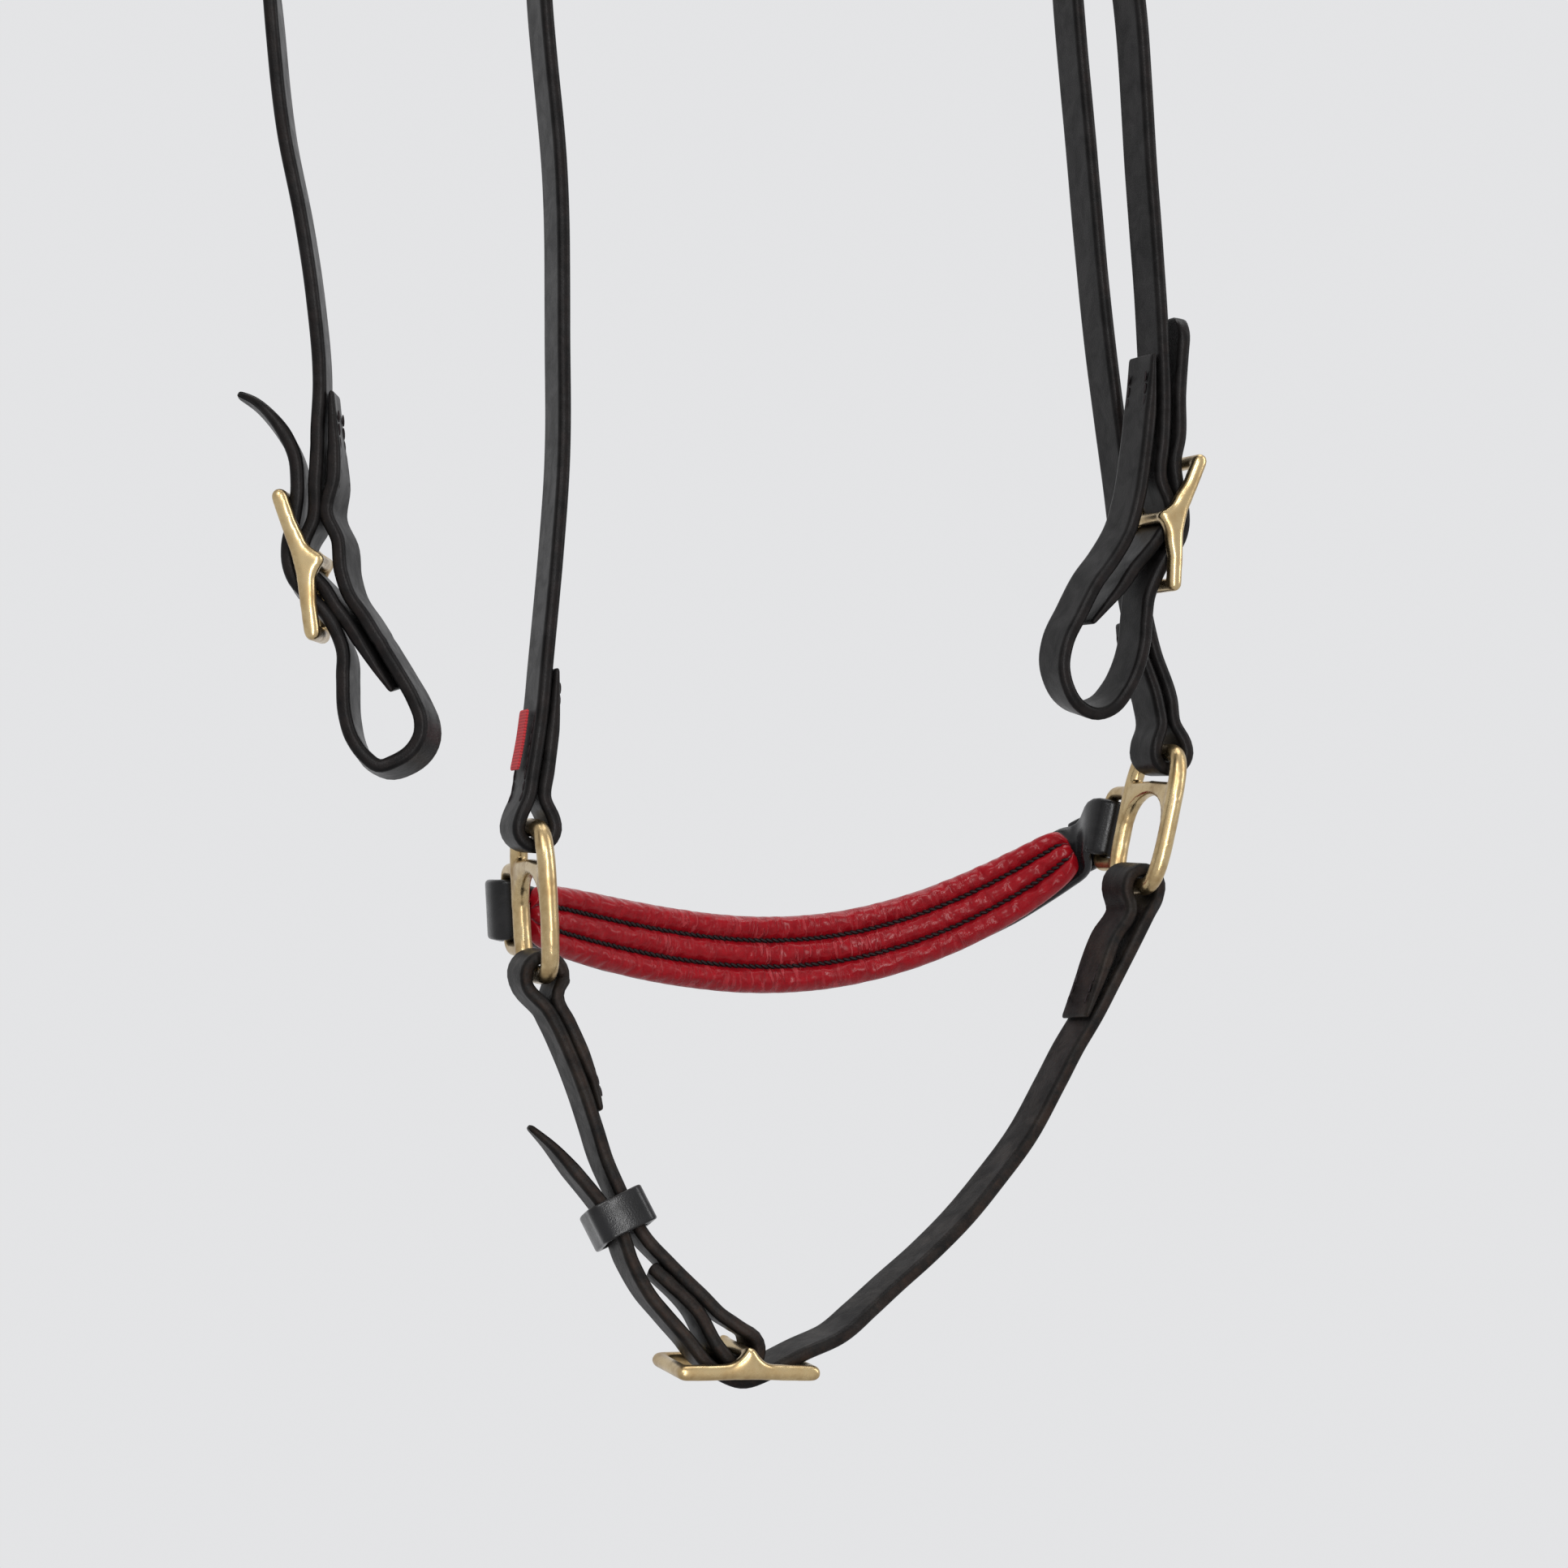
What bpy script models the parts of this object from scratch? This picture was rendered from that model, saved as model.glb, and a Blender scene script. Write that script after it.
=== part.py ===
"""Horse bridle: two bit cheekpieces and a padded noseband on its own hanger, joined at the poll by a
crown strap and a browband. It hangs as from a peg: +Z up, +Y to the front of the horse's face, and the
origin under the straps at the poll. Lengths below are millimetres, and the last step makes them metres."""

import math

import bmesh
import bpy
from mathutils import Matrix, Vector
from mathutils.geometry import interpolate_bezier

MM = 0.001

# Leather
WIDTH = 13.0
THICK = 3.0
EDGE = 0.9
GAP = 0.3
CROWN_WIDTH = 20.0
NOSE_WIDTH = 20.0
TAB_WIDTH = 14.0
BROW_WIDTH = 16.0
SOFT_THICK = 2.6
CROWN_TAPER_FROM = 0.22
CROWN_TAPER_TO = 0.36

# Brass buckle: a loop with two end bars, a centre bar between humped rails, and a fixed stub
BAR_REACH = 15.0
END_BAR = 1.5
CENTRE_BAR = 1.25
BAR_HEIGHT = 4.0
RAIL_SIDE = 8.7
RAIL_THICK = 3.0
HUMP_REACH = 5.2
STUB = 1.2
STUB_HOLE = 1.9

# Brass ring: an oval with an arched web under the hanger's slot, and a side bar for the noseband
RING_ROD = 2.0
RING_HALF_DEPTH = 11.8
RING_HALF_HEIGHT = 16.6
RING_SQUARENESS = (0.38, 0.62)
RING_SLACK = 0.8
CROSSBAR = 1.5
CROSSBAR_DROP = 8.9
ARCH_HALF_SPAN = 9.6
ARCH_RISE = 7.0
WEB_THICK = 3.2
SIDE_BAR = 1.6
SIDE_BAR_REACH = 22.0
SIDE_BAR_TOP = 6.4
SIDE_BAR_FOOT = -11.6

# Heights of the leather over a buckle's centre bar, and the top layer's height under its end bars
LOWER_CREST = CENTRE_BAR + GAP + THICK / 2 + 0.2
UPPER_CREST = LOWER_CREST + THICK + GAP
UPPER_REST = BAR_HEIGHT - END_BAR - GAP - THICK / 2

# Mesh fineness
TURN_STEP = math.radians(13)
NOSE_TURN_STEP = math.radians(6)
LONGEST_RUN = 24.0

BLACK = (0.022, 0.021, 0.021, 1)
BRASS = (0.62, 0.47, 0.22, 1)
RED = (0.36, 0.01, 0.018, 1)
SIDE = Vector((0, 1, 0))
SKIVE_RUN = 14.0
SKIVED = 0.4
POINT_RUN = 16.0


def clear_scene():
    for obj in list(bpy.data.objects):
        bpy.data.objects.remove(obj)


def collection(name, hidden=False):
    made = bpy.data.collections.new(name)
    made.hide_render = hidden
    bpy.context.scene.collection.children.link(made)
    return made


clear_scene()
BRIDLE = collection("horse_bridle")
CUTTERS = collection("cutters", hidden=True)


def material(name, colour, roughness, metallic=0.0):
    made = bpy.data.materials.new(name)
    made.use_nodes = True
    shader = made.node_tree.nodes["Principled BSDF"]
    shader.inputs["Base Color"].default_value = colour
    shader.inputs["Roughness"].default_value = roughness
    shader.inputs["Metallic"].default_value = metallic
    return made


def finish(name, mesh, colour, roughness, metallic=0.0, origin=None):
    """Names the mesh's object and puts its origin where the piece turns or sits."""
    obj = bpy.data.objects.new(name, mesh)
    BRIDLE.objects.link(obj)
    if origin is not None:
        mesh.transform(Matrix.Translation(-origin * MM))
        obj.location = origin * MM
    mesh.materials.append(material(name, colour, roughness, metallic))
    mesh.shade_smooth()
    mesh.set_sharp_from_angle(angle=math.radians(35))
    return obj


class Seat:
    """A place in the XZ plane with an up direction and an outward one, as at a buckle's centre bar."""

    def __init__(self, x, y, z, up_deg, hand):
        turn = math.radians(up_deg)
        self.origin = Vector((x, y, z))
        self.up = Vector((math.cos(turn), 0, math.sin(turn)))
        self.out = Vector((-math.sin(turn), 0, math.cos(turn))) * hand
        self.hand = hand

    def at(self, along, height, y_shift=0.0):
        return self.origin + self.up * along + self.out * height + SIDE * y_shift

    def matrix(self):
        axes = (self.up, SIDE * self.hand, self.out)
        turn = Matrix([[axis[row] for axis in axes] for row in range(3)]).to_4x4()
        return Matrix.Translation(self.origin) @ turn


def smooth(points):
    """Dense points on one smooth curve through the given ones."""
    points = [Vector(p) for p in points]
    tangents = []
    for i, here in enumerate(points):
        before = here - points[i - 1] if i else None
        after = points[i + 1] - here if i + 1 < len(points) else None
        if before is None or after is None:
            tangents.append((after or before).normalized())
        else:
            blend = before.normalized() * after.length + after.normalized() * before.length
            tangents.append(blend.normalized())
    dense = [points[0]]
    for i in range(len(points) - 1):
        start, end = points[i], points[i + 1]
        reach = (end - start).length / 3
        steps = max(2, math.ceil(reach * 3))
        run = interpolate_bezier(start, start + tangents[i] * reach, end - tangents[i + 1] * reach, end, steps + 1)
        dense += run[1:]
    return dense


def stations(points, forced, turn_step, keep):
    """Picks the points where the curve has turned or run far enough. The forced distances and the points
    to keep always have one."""
    dense = smooth(points)
    held = {min(range(len(dense)), key=lambda i: (dense[i] - spot).length) for spot in keep}
    travelled = [0.0]
    for a, b in zip(dense, dense[1:]):
        travelled.append(travelled[-1] + (b - a).length)
    total = travelled[-1]
    marks = sorted({round(d if d >= 0 else total + d, 3) for d in forced})
    kept = [0]
    turned = 0.0
    for i in range(1, len(dense) - 1):
        ahead = dense[i + 1] - dense[i]
        turned += (dense[i] - dense[i - 1]).angle(ahead, 0)
        run = travelled[i] - travelled[kept[-1]]
        crossed = any(travelled[i - 1] < mark <= travelled[i] for mark in marks)
        if crossed or i in held or turned > turn_step or run > LONGEST_RUN:
            kept.append(i)
            turned = 0.0
    kept.append(len(dense) - 1)
    places = []
    for i in kept:
        before, after = dense[max(i - 1, 0)], dense[min(i + 1, len(dense) - 1)]
        places.append((dense[i], (after - before).normalized(), travelled[i]))
    return places, total


def loft(rings):
    """A closed body through rings of equal point counts, capped at both ends."""
    shape = bmesh.new()
    loops = [[shape.verts.new(p * MM) for p in ring] for ring in rings]
    count = len(loops[0])
    for near, far in zip(loops, loops[1:]):
        for i in range(count):
            j = (i + 1) % count
            shape.faces.new((near[i], near[j], far[j], far[i]))
    shape.faces.new(list(reversed(loops[0])))
    shape.faces.new(loops[-1])
    bmesh.ops.recalc_face_normals(shape, faces=shape.faces)
    mesh = bpy.data.meshes.new("loft")
    shape.to_mesh(mesh)
    shape.free()
    return mesh


TIPS = {"square": (), "skived": (0.0, 4.5, 9.0, 14.0), "round": (0.0, 0.35, 1.2, 2.8, 5.6),
        "point": (0.0, 0.5, 1.8, 5.0, 10.0, 16.0)}


def tip_share(kind, distance, half):
    """How much of the half width is left at this distance from a shaped end."""
    if kind == "round" and distance < half:
        return math.sqrt(max(0.09, 1 - (1 - distance / half) ** 2))
    if kind == "point" and distance < POINT_RUN:
        return 0.22 + 0.78 * math.sin(distance / POINT_RUN * math.pi / 2) ** 0.75
    return 1.0


def skive_share(kind, distance):
    """How much of the thickness is left at this distance from an end that is pared thin."""
    return SKIVED + (1 - SKIVED) * min(1.0, distance / SKIVE_RUN) if kind == "skived" else 1.0


def section(half, thick):
    """A rounded rectangle of eight points, once round."""
    edge = min(EDGE, half * 0.5, thick * 0.3)
    ring = []
    for su, sv in ((1, 1), (-1, 1), (-1, -1), (1, -1)):
        corner = [(su * half, sv * (thick / 2 - edge)), (su * (half - edge), sv * thick / 2)]
        ring += corner if su * sv > 0 else reversed(corner)
    return ring


def strap_mesh(points, width=WIDTH, thick=THICK, side=SIDE, ends=("square", "square"),
               turn_step=TURN_STEP, keep=()):
    """A strap of rounded rectangular section along a route. Width may be a function of 0 to 1, and the
    direction across the strap a function of the place."""
    forced = list(TIPS[ends[0]]) + [-d for d in TIPS[ends[1]] if d]
    places, total = stations(points, forced, turn_step, keep)
    rings = []
    for place, ahead, travelled in places:
        half = (width(travelled / total) if callable(width) else width) / 2
        across = side(place) if callable(side) else side
        across = (across - ahead * across.dot(ahead)).normalized()
        face = ahead.cross(across)
        half *= tip_share(ends[0], travelled, half) * tip_share(ends[1], total - travelled, half)
        pared = thick * skive_share(ends[0], travelled) * skive_share(ends[1], total - travelled)
        rings.append([place + across * a + face * b for a, b in section(half, pared)])
    return loft(rings)


def arc(centre, radius, start_deg, end_deg, steps=6):
    """Points round a bar that runs along Y, by angle in the XZ plane from +X towards +Z."""
    found = []
    for i in range(steps + 1):
        turn = math.radians(start_deg + (end_deg - start_deg) * i / steps)
        found.append(Vector(centre) + Vector((math.cos(turn), 0, math.sin(turn))) * radius)
    return found


def bump(along):
    """1 over the centre bar, 0 from the end bars on."""
    return 0.5 * (1 + math.cos(math.pi * along / BAR_REACH)) if abs(along) < BAR_REACH else 0.0


def under_and_over(seat, rest):
    """The top layer's points through a buckle: under an end bar, over the lower layer, and under the other."""
    found = []
    for i in range(9):
        along = BAR_REACH * (1 - i / 4)
        found.append(seat.at(along, rest + (UPPER_CREST - rest) * bump(along)))
    return found


def mesh_of(obj):
    """The evaluated object as a welded mesh, with its place applied."""
    bpy.context.view_layer.update()
    graph = bpy.context.evaluated_depsgraph_get()
    mesh = bpy.data.meshes.new_from_object(obj.evaluated_get(graph))
    mesh.transform(obj.matrix_world)
    shape = bmesh.new()
    shape.from_mesh(mesh)
    bmesh.ops.remove_doubles(shape, verts=shape.verts, dist=1e-6)
    shape.to_mesh(mesh)
    shape.free()
    bpy.data.objects.remove(obj)
    return mesh


def curve_mesh(points, radius, cyclic=False, resolution=2):
    """A round bar along the given points."""
    data = bpy.data.curves.new("bar", "CURVE")
    data.dimensions = "3D"
    data.bevel_depth = radius * MM
    data.bevel_resolution = resolution
    data.use_fill_caps = True
    spline = data.splines.new("POLY")
    spline.points.add(len(points) - 1)
    for spot, point in zip(spline.points, points):
        spot.co = (*(Vector(point) * MM), 1)
    spline.use_cyclic_u = cyclic
    obj = bpy.data.objects.new("bar", data)
    CUTTERS.objects.link(obj)
    return mesh_of(obj)


def plate_mesh(outlines, thick, rounding=0.0):
    """A flat plate in the local XY plane, centred on it, from one outline and any holes."""
    data = bpy.data.curves.new("plate", "CURVE")
    data.dimensions = "2D"
    data.fill_mode = "BOTH"
    data.extrude = (thick / 2 - rounding) * MM
    data.bevel_depth = rounding * MM
    data.bevel_resolution = 0
    data.offset = -rounding * MM
    for outline in outlines:
        spline = data.splines.new("POLY")
        spline.points.add(len(outline) - 1)
        for spot, (x, y) in zip(spline.points, outline):
            spot.co = (x * MM, y * MM, 0, 1)
        spline.use_cyclic_u = True
    obj = bpy.data.objects.new("plate", data)
    CUTTERS.objects.link(obj)
    return mesh_of(obj)


def boolean(mesh, others, operation):
    """The mesh joined with, or cut by, the others."""
    base = bpy.data.objects.new("base", mesh)
    CUTTERS.objects.link(base)
    tools = []
    for other in others:
        tool = bpy.data.objects.new("tool", other)
        tool.display_type = "WIRE"
        tool.hide_render = True
        CUTTERS.objects.link(tool)
        step = base.modifiers.new(operation.lower(), "BOOLEAN")
        step.operation = operation
        step.solver = "EXACT"
        step.object = tool
        tools.append(tool)
    made = mesh_of(base)
    for tool in tools:
        bpy.data.objects.remove(tool)
    return made


def rail_outline(bar_height, dip):
    """Side view of one rail, along X and outward Y: ends at the end bars, and a bell-shaped hump in to the
    centre bar."""
    middle = bar_height - dip
    half = RAIL_THICK / 2
    apex = -CENTRE_BAR - 0.15
    foot = middle - half
    hump = [(0.6, apex)]
    for i in range(1, 6):
        share = i / 5
        hump.append((0.6 + (HUMP_REACH - 0.6) * share, apex + (foot - apex) * math.sin(share * math.pi / 2) ** 0.85))
    slope = dip / BAR_REACH
    shoulder = (9.0, middle + slope * 9.0)
    end = []
    for i in range(5):
        turn = math.radians(-90 + 45 * i)
        end.append((BAR_REACH + half * math.cos(turn), bar_height + half * math.sin(turn)))
    outer = [(shoulder[0], shoulder[1] + half), (2.5, middle + slope * 2.5 + half - 0.1)]
    right = hump + [(shoulder[0], shoulder[1] - half)] + end + outer
    return right + [(-x, y) for x, y in reversed(right)]


def buckle_mesh(bar_height, dip, stub_tip):
    """A brass loop buckle about its centre bar: X along the strap, Y across it, Z outward."""
    rails = []
    for across in (-RAIL_SIDE, RAIL_SIDE):
        rail = plate_mesh([rail_outline(bar_height, dip)], RAIL_THICK, rounding=0.6)
        rail.transform(Matrix.Translation((0, across * MM, 0)) @ Matrix.Rotation(math.pi / 2, 4, "X"))
        rails.append(rail)
    bars = []
    for along, height, radius in ((-BAR_REACH, bar_height, END_BAR), (BAR_REACH, bar_height, END_BAR),
                                  (0, 0, CENTRE_BAR)):
        ends = [(along, -RAIL_SIDE, height), (along, RAIL_SIDE, height)]
        bars.append(curve_mesh(ends, radius, resolution=3 if radius == END_BAR else 2))
    stub = curve_mesh([(0, 0, 0), (stub_tip[0], 0, stub_tip[1])], STUB, resolution=2)
    return boolean(rails[0], [rails[1], *bars, stub], "UNION")


def hung(mesh, degrees):
    """Turns a cheek about the upright line through its middle: more and more below its keeper, and all of
    it by the same angle from there down."""
    middle = Matrix.Translation(Vector(HANG_MIDDLE) * MM)
    for vertex in mesh.vertices:
        down = (HANG_FROM - vertex.co.z / MM) / (HANG_FROM - HANG_TO)
        down = min(1.0, max(0.0, down))
        turn = Matrix.Rotation(math.radians(degrees) * (3 * down**2 - 2 * down**3), 4, "Z")
        vertex.co = middle @ turn @ middle.inverted() @ vertex.co
    return mesh


def buckle(name, seat, stub_tip, bar_height=BAR_HEIGHT, dip=0.2, origin=None, hang=0.0):
    mesh = buckle_mesh(bar_height, dip, stub_tip)
    place = seat.matrix()
    place.translation *= MM
    mesh.transform(place)
    return finish(name, hung(mesh, hang), BRASS, 0.3, 1.0, origin or seat.origin)


def stub_cutter(seat, stub_tip):
    """The hole that a buckle's stub needs, from just outside its bar to well past the leather."""
    tip = Vector(stub_tip)
    near = tip.normalized() * (CENTRE_BAR * 0.6)
    far = tip.normalized() * 14.0
    return curve_mesh([seat.at(near.x, near.y), seat.at(far.x, far.y)], STUB_HOLE, resolution=2)


def ring_mesh():
    """A cast ring in the YZ plane: the oval, its crossbar, and the side bar on two lugs."""
    oval = []
    for i in range(32):
        turn = 2 * math.pi * i / 32
        c, s = math.cos(turn), math.sin(turn)
        oval.append((0, RING_HALF_DEPTH * math.copysign(abs(c) ** RING_SQUARENESS[0], c),
                     RING_HALF_HEIGHT * math.copysign(abs(s) ** RING_SQUARENESS[1], s)))
    ring = curve_mesh(oval, RING_ROD, cyclic=True)
    height = RING_HALF_HEIGHT - CROSSBAR_DROP
    arch = []
    for i in range(13):
        turn = math.pi * i / 12
        arch.append((-ARCH_HALF_SPAN * math.cos(turn), height - CROSSBAR - ARCH_RISE * (1 - math.sin(turn))))
    corners = [(RING_HALF_DEPTH, arch[-1][1]), (RING_HALF_DEPTH, height + CROSSBAR - 0.5),
               (0, height + CROSSBAR), (-RING_HALF_DEPTH, height + CROSSBAR - 0.5), (-RING_HALF_DEPTH, arch[0][1])]
    crossbar = plate_mesh([arch + corners], WEB_THICK, rounding=0.7)
    crossbar.transform(Matrix(((0, 0, 1, 0), (1, 0, 0, 0), (0, 1, 0, 0), (0, 0, 0, 1))))
    corner = 2.6
    loop = [(0, RING_HALF_DEPTH - 1, SIDE_BAR_TOP)]
    for centre_z, start in ((SIDE_BAR_TOP - corner, 90), (SIDE_BAR_FOOT + corner, 0)):
        for i in range(4):
            turn = math.radians(start - 30 * i)
            loop.append((0, SIDE_BAR_REACH - corner + corner * math.cos(turn), centre_z + corner * math.sin(turn)))
    loop.append((0, RING_HALF_DEPTH - 1, SIDE_BAR_FOOT))
    side_bar = curve_mesh(loop, SIDE_BAR)
    return boolean(ring, [crossbar, side_bar], "UNION")


def ring(name, centre, roll_deg):
    """A ring with its origin at its top, where it swings in the hanger's fold."""
    mesh = ring_mesh()
    place = Matrix.Translation(centre * MM) @ Matrix.Rotation(math.radians(roll_deg), 4, "Y")
    mesh.transform(place)
    return finish(name, mesh, BRASS, 0.3, 1.0, ring_point(centre, roll_deg, 0, RING_HALF_HEIGHT))


def keeper(name, centre, along, out, inner_height, length=9.0, wall=1.8, inner_width=WIDTH + 1.0):
    """A leather loop round a stack of straps: a rounded frame, extruded along the strap."""
    outlines = []
    for grow in (wall, 0.0):
        half_w, half_h, corner = inner_width / 2 + grow, inner_height / 2 + grow, 1.0 + grow
        outline = []
        for su, sv, start in ((1, 1, 0), (-1, 1, 90), (-1, -1, 180), (1, -1, 270)):
            for i in range(4):
                turn = math.radians(start + 30 * i)
                outline.append((su * (half_w - corner) + corner * math.cos(turn),
                                sv * (half_h - corner) + corner * math.sin(turn)))
        outlines.append(outline)
    mesh = plate_mesh(outlines, length)
    along = along.normalized()
    across = out.cross(along).normalized()
    out = along.cross(across)
    turn = Matrix([[axis[row] for axis in (across, out, along)] for row in range(3)]).to_4x4()
    mesh.transform(Matrix.Translation(centre * MM) @ turn)
    return finish(name, mesh, BLACK, 0.6, origin=centre)


# Places of the brass, and of the straps' open stretches
LEFT_BIT = Seat(-113.6, -12, -394.9, 103.5, 1)
RIGHT_BIT = Seat(84.6, -12, -380.0, 77.0, -1)
LEFT_CROWN = Seat(-119.5, -9.5, -183, 80, 1)
RIGHT_CROWN = Seat(72.5, -9.5, -180, 97.5, -1)
HANGER = Seat(-74.5, 9.5, -185, 104, 1)
CHIN = Seat(-23.4, -26, -567.7, -3.5, -1)
BIT_STUB = (3.4, 7.4)
BILLET_STUB = (6.6, 4.6)
LEFT_BIT_BRASS = (4.5, 1.4)
RIGHT_BIT_BRASS = (5.8, 2.7)

LEFT_RING = Vector((-62.6, 0, -469.0))
RIGHT_RING = Vector((90.3, 0, -451.2))
LEFT_ROLL = -3.0
RIGHT_ROLL = 13.0
FOLD = RING_ROD + RING_SLACK + THICK / 2


def ring_point(centre, roll_deg, y, z):
    """A point of the ring's own plane, after its roll."""
    return centre + Matrix.Rotation(math.radians(roll_deg), 3, "Y") @ Vector((0, y, z))


def flat_route(y, pairs):
    """Points from (x, z) pairs in the plane at this y."""
    return [Vector((x, y, z)) for x, z in pairs]


def on_seat(seat, pairs):
    """Points from (along, height) pairs beside a buckle's centre bar."""
    return [seat.at(along, height) for along, height in pairs]


# The bit cheeks, from the cheek strap's open stretch to its pared end inside the loop, and the doubling
# strap from its pared top, down round the bit's loop and up through the buckle to its tip
CHEEK_Y = -12
LEFT_CHEEK = flat_route(CHEEK_Y, [
    (-125.2, -262), (-124.0, -275.5), (-120.9, -304), (-117.5, -321), (-114.9, -338.2), (-113.4, -357),
    (-113.9, -368), (-114.6, -378), (-114.9, -386)])
LEFT_CHEEK_END = flat_route(CHEEK_Y, [
    (-112.3, -400.6), (-109.0, -404.6), (-106.0, -408.5), (-103.0, -412.8), (-99.9, -417.0), (-97.4, -420.1)])
LEFT_DOUBLING = flat_route(CHEEK_Y, [
    (-110.9, -358.5), (-110.6, -366), (-110.1, -372), (-109.4, -377.7), (-109.8, -385), (-107.3, -391),
    (-106.6, -397.5), (-105.1, -402.3), (-101.5, -407.8), (-97.9, -413.7), (-94.3, -419.6), (-91.3, -424.9),
    (-89.6, -429.5), (-89.6, -432.5), (-91.3, -435.9), (-94.5, -438.3), (-99.5, -439.4), (-103.8, -437.4),
    (-106.6, -433.6), (-108.2, -428.5), (-108.6, -420.4), (-108.6, -415), (-109.9, -410.9), (-112.1, -407)])
LEFT_TIP = flat_route(CHEEK_Y, [
    (-118.2, -378), (-118.7, -373.5), (-120.6, -369), (-124.0, -364.3), (-127.6, -360.9), (-131.6, -358.7)])
RIGHT_CHEEK = flat_route(CHEEK_Y, [
    (79.7, -258.8), (82.6, -296.7), (85.8, -338.5), (86.3, -350), (86.0, -362), (85.3, -371)])
RIGHT_CHEEK_END = flat_route(CHEEK_Y, [
    (84.4, -385.3), (82.0, -388.2), (78.7, -391.8), (75.3, -396.4), (71.3, -400.8), (67.2, -405.2)])
RIGHT_DOUBLING = flat_route(CHEEK_Y, [
    (83.1, -341.4), (82.5, -353.5), (81.2, -365), (79.3, -375.9), (77.3, -382.4), (73.0, -389.5), (68.9, -394.7),
    (64.6, -402.3), (61.0, -409.4), (60.2, -414.7), (61.2, -419.0), (64.0, -423.3), (68.2, -425.4),
    (72.6, -424.3), (76.3, -420.5), (79.2, -415), (80.9, -409), (81.5, -403), (82.2, -398), (84.0, -393.5)])
RIGHT_TIP = flat_route(CHEEK_Y, [(90.2, -360), (90.3, -350), (90.9, -341), (91.8, -332)])
HANG_MIDDLE = (-118.0, -12.0, 0.0)
HANG_FROM = -224.0
HANG_TO = -282.0
LEFT_HANG = -19.0
LEFT_TWIST = Vector((0, 1, -0.15))
RIGHT_TWIST = Vector((0, 1, 0.17))


def cheek_top(seat):
    """A cheek strap's top: from its stitched end up the inside, over the buckle's bar, and down the outside."""
    inside = on_seat(seat, [(-34, -6.2), (-22, -6.2), (-13, -6.0), (-7, -4.7)])
    around = []
    for i in range(9):
        turn = math.radians(-90 + 22.5 * i)
        around.append(seat.at(LOWER_CREST * math.cos(turn), LOWER_CREST * math.sin(turn)))
    outside = on_seat(seat, [(-3.3, 2.3), (-6, 0.6), (-9, -1.5), (-13, -2.9), (-22, -3.0), (-34, -3.0), (-44, -3.0)])
    return inside + around + outside


def cut(mesh, cutters):
    copies = [cutter.copy() for cutter in cutters]
    return boolean(mesh, copies, "DIFFERENCE")


def billet(seat, from_above):
    """A punched strap end: in under the top end bar, over the centre bar, and down the outside."""
    outside = on_seat(seat, [(-24, UPPER_REST), (-38, UPPER_REST), (-52, UPPER_REST + 1.1)])
    return from_above + under_and_over(seat, UPPER_REST) + outside


def punch(seat, along, height):
    """A round hole through a strap end, for letting the buckle in or out."""
    return curve_mesh([seat.at(along, height - 6), seat.at(along, height + 6)], 1.5, resolution=2)


def crown_width(share):
    """Wider at the poll than at the billets."""
    from_end = 0.5 - abs(share - 0.5)
    rise = (from_end - CROWN_TAPER_FROM) / (CROWN_TAPER_TO - CROWN_TAPER_FROM)
    rise = min(1.0, max(0.0, rise))
    return WIDTH + (CROWN_WIDTH - WIDTH) * (3 * rise**2 - 2 * rise**3)


PUNCH_AT = -40
KEEPER_AT = -28
KEEPER_STACK = 11.2
POLL_LEFT = [(-91.0, -112), (-91.0, -96), (-87.5, -70), (-76.0, -38), (-52.0, -10), (-24.0, 0.6), (-9.0, THICK / 2)]
POLL_RIGHT = [(9.0, THICK / 2), (24.0, 0.6), (42.0, -10), (55.0, -38), (60.5, -70), (63.5, -96), (64.5, -112)]


def poll_route(lift):
    """The line over the poll, raised outward by lift, from the left browband loop to the right one."""
    flat = [Vector((x, 0, z)) for x, z in POLL_LEFT + POLL_RIGHT]
    raised = []
    for i, point in enumerate(flat):
        ahead = flat[min(i + 1, len(flat) - 1)] - flat[max(i - 1, 0)]
        raised.append(point + ahead.cross(SIDE).normalized() * lift)
    return raised


def crown_strap():
    over = poll_route(THICK + GAP + 0.35)
    left = list(reversed(billet(LEFT_CROWN, [Vector((-100.0, -2.5, -126)), Vector((-110.0, -6.0, -149))])))
    right = billet(RIGHT_CROWN, [Vector((71.0, -2.5, -130)), Vector((71.2, -6.5, -149))])
    mesh = strap_mesh(left + over + right, width=crown_width, ends=("point", "point"))
    holes = [stub_cutter(LEFT_CROWN, BILLET_STUB), stub_cutter(RIGHT_CROWN, BILLET_STUB)]
    holes += [punch(LEFT_CROWN, PUNCH_AT, UPPER_REST), punch(RIGHT_CROWN, PUNCH_AT, UPPER_REST)]
    return finish("crown_strap", cut(mesh, holes), BLACK, 0.5)


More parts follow.
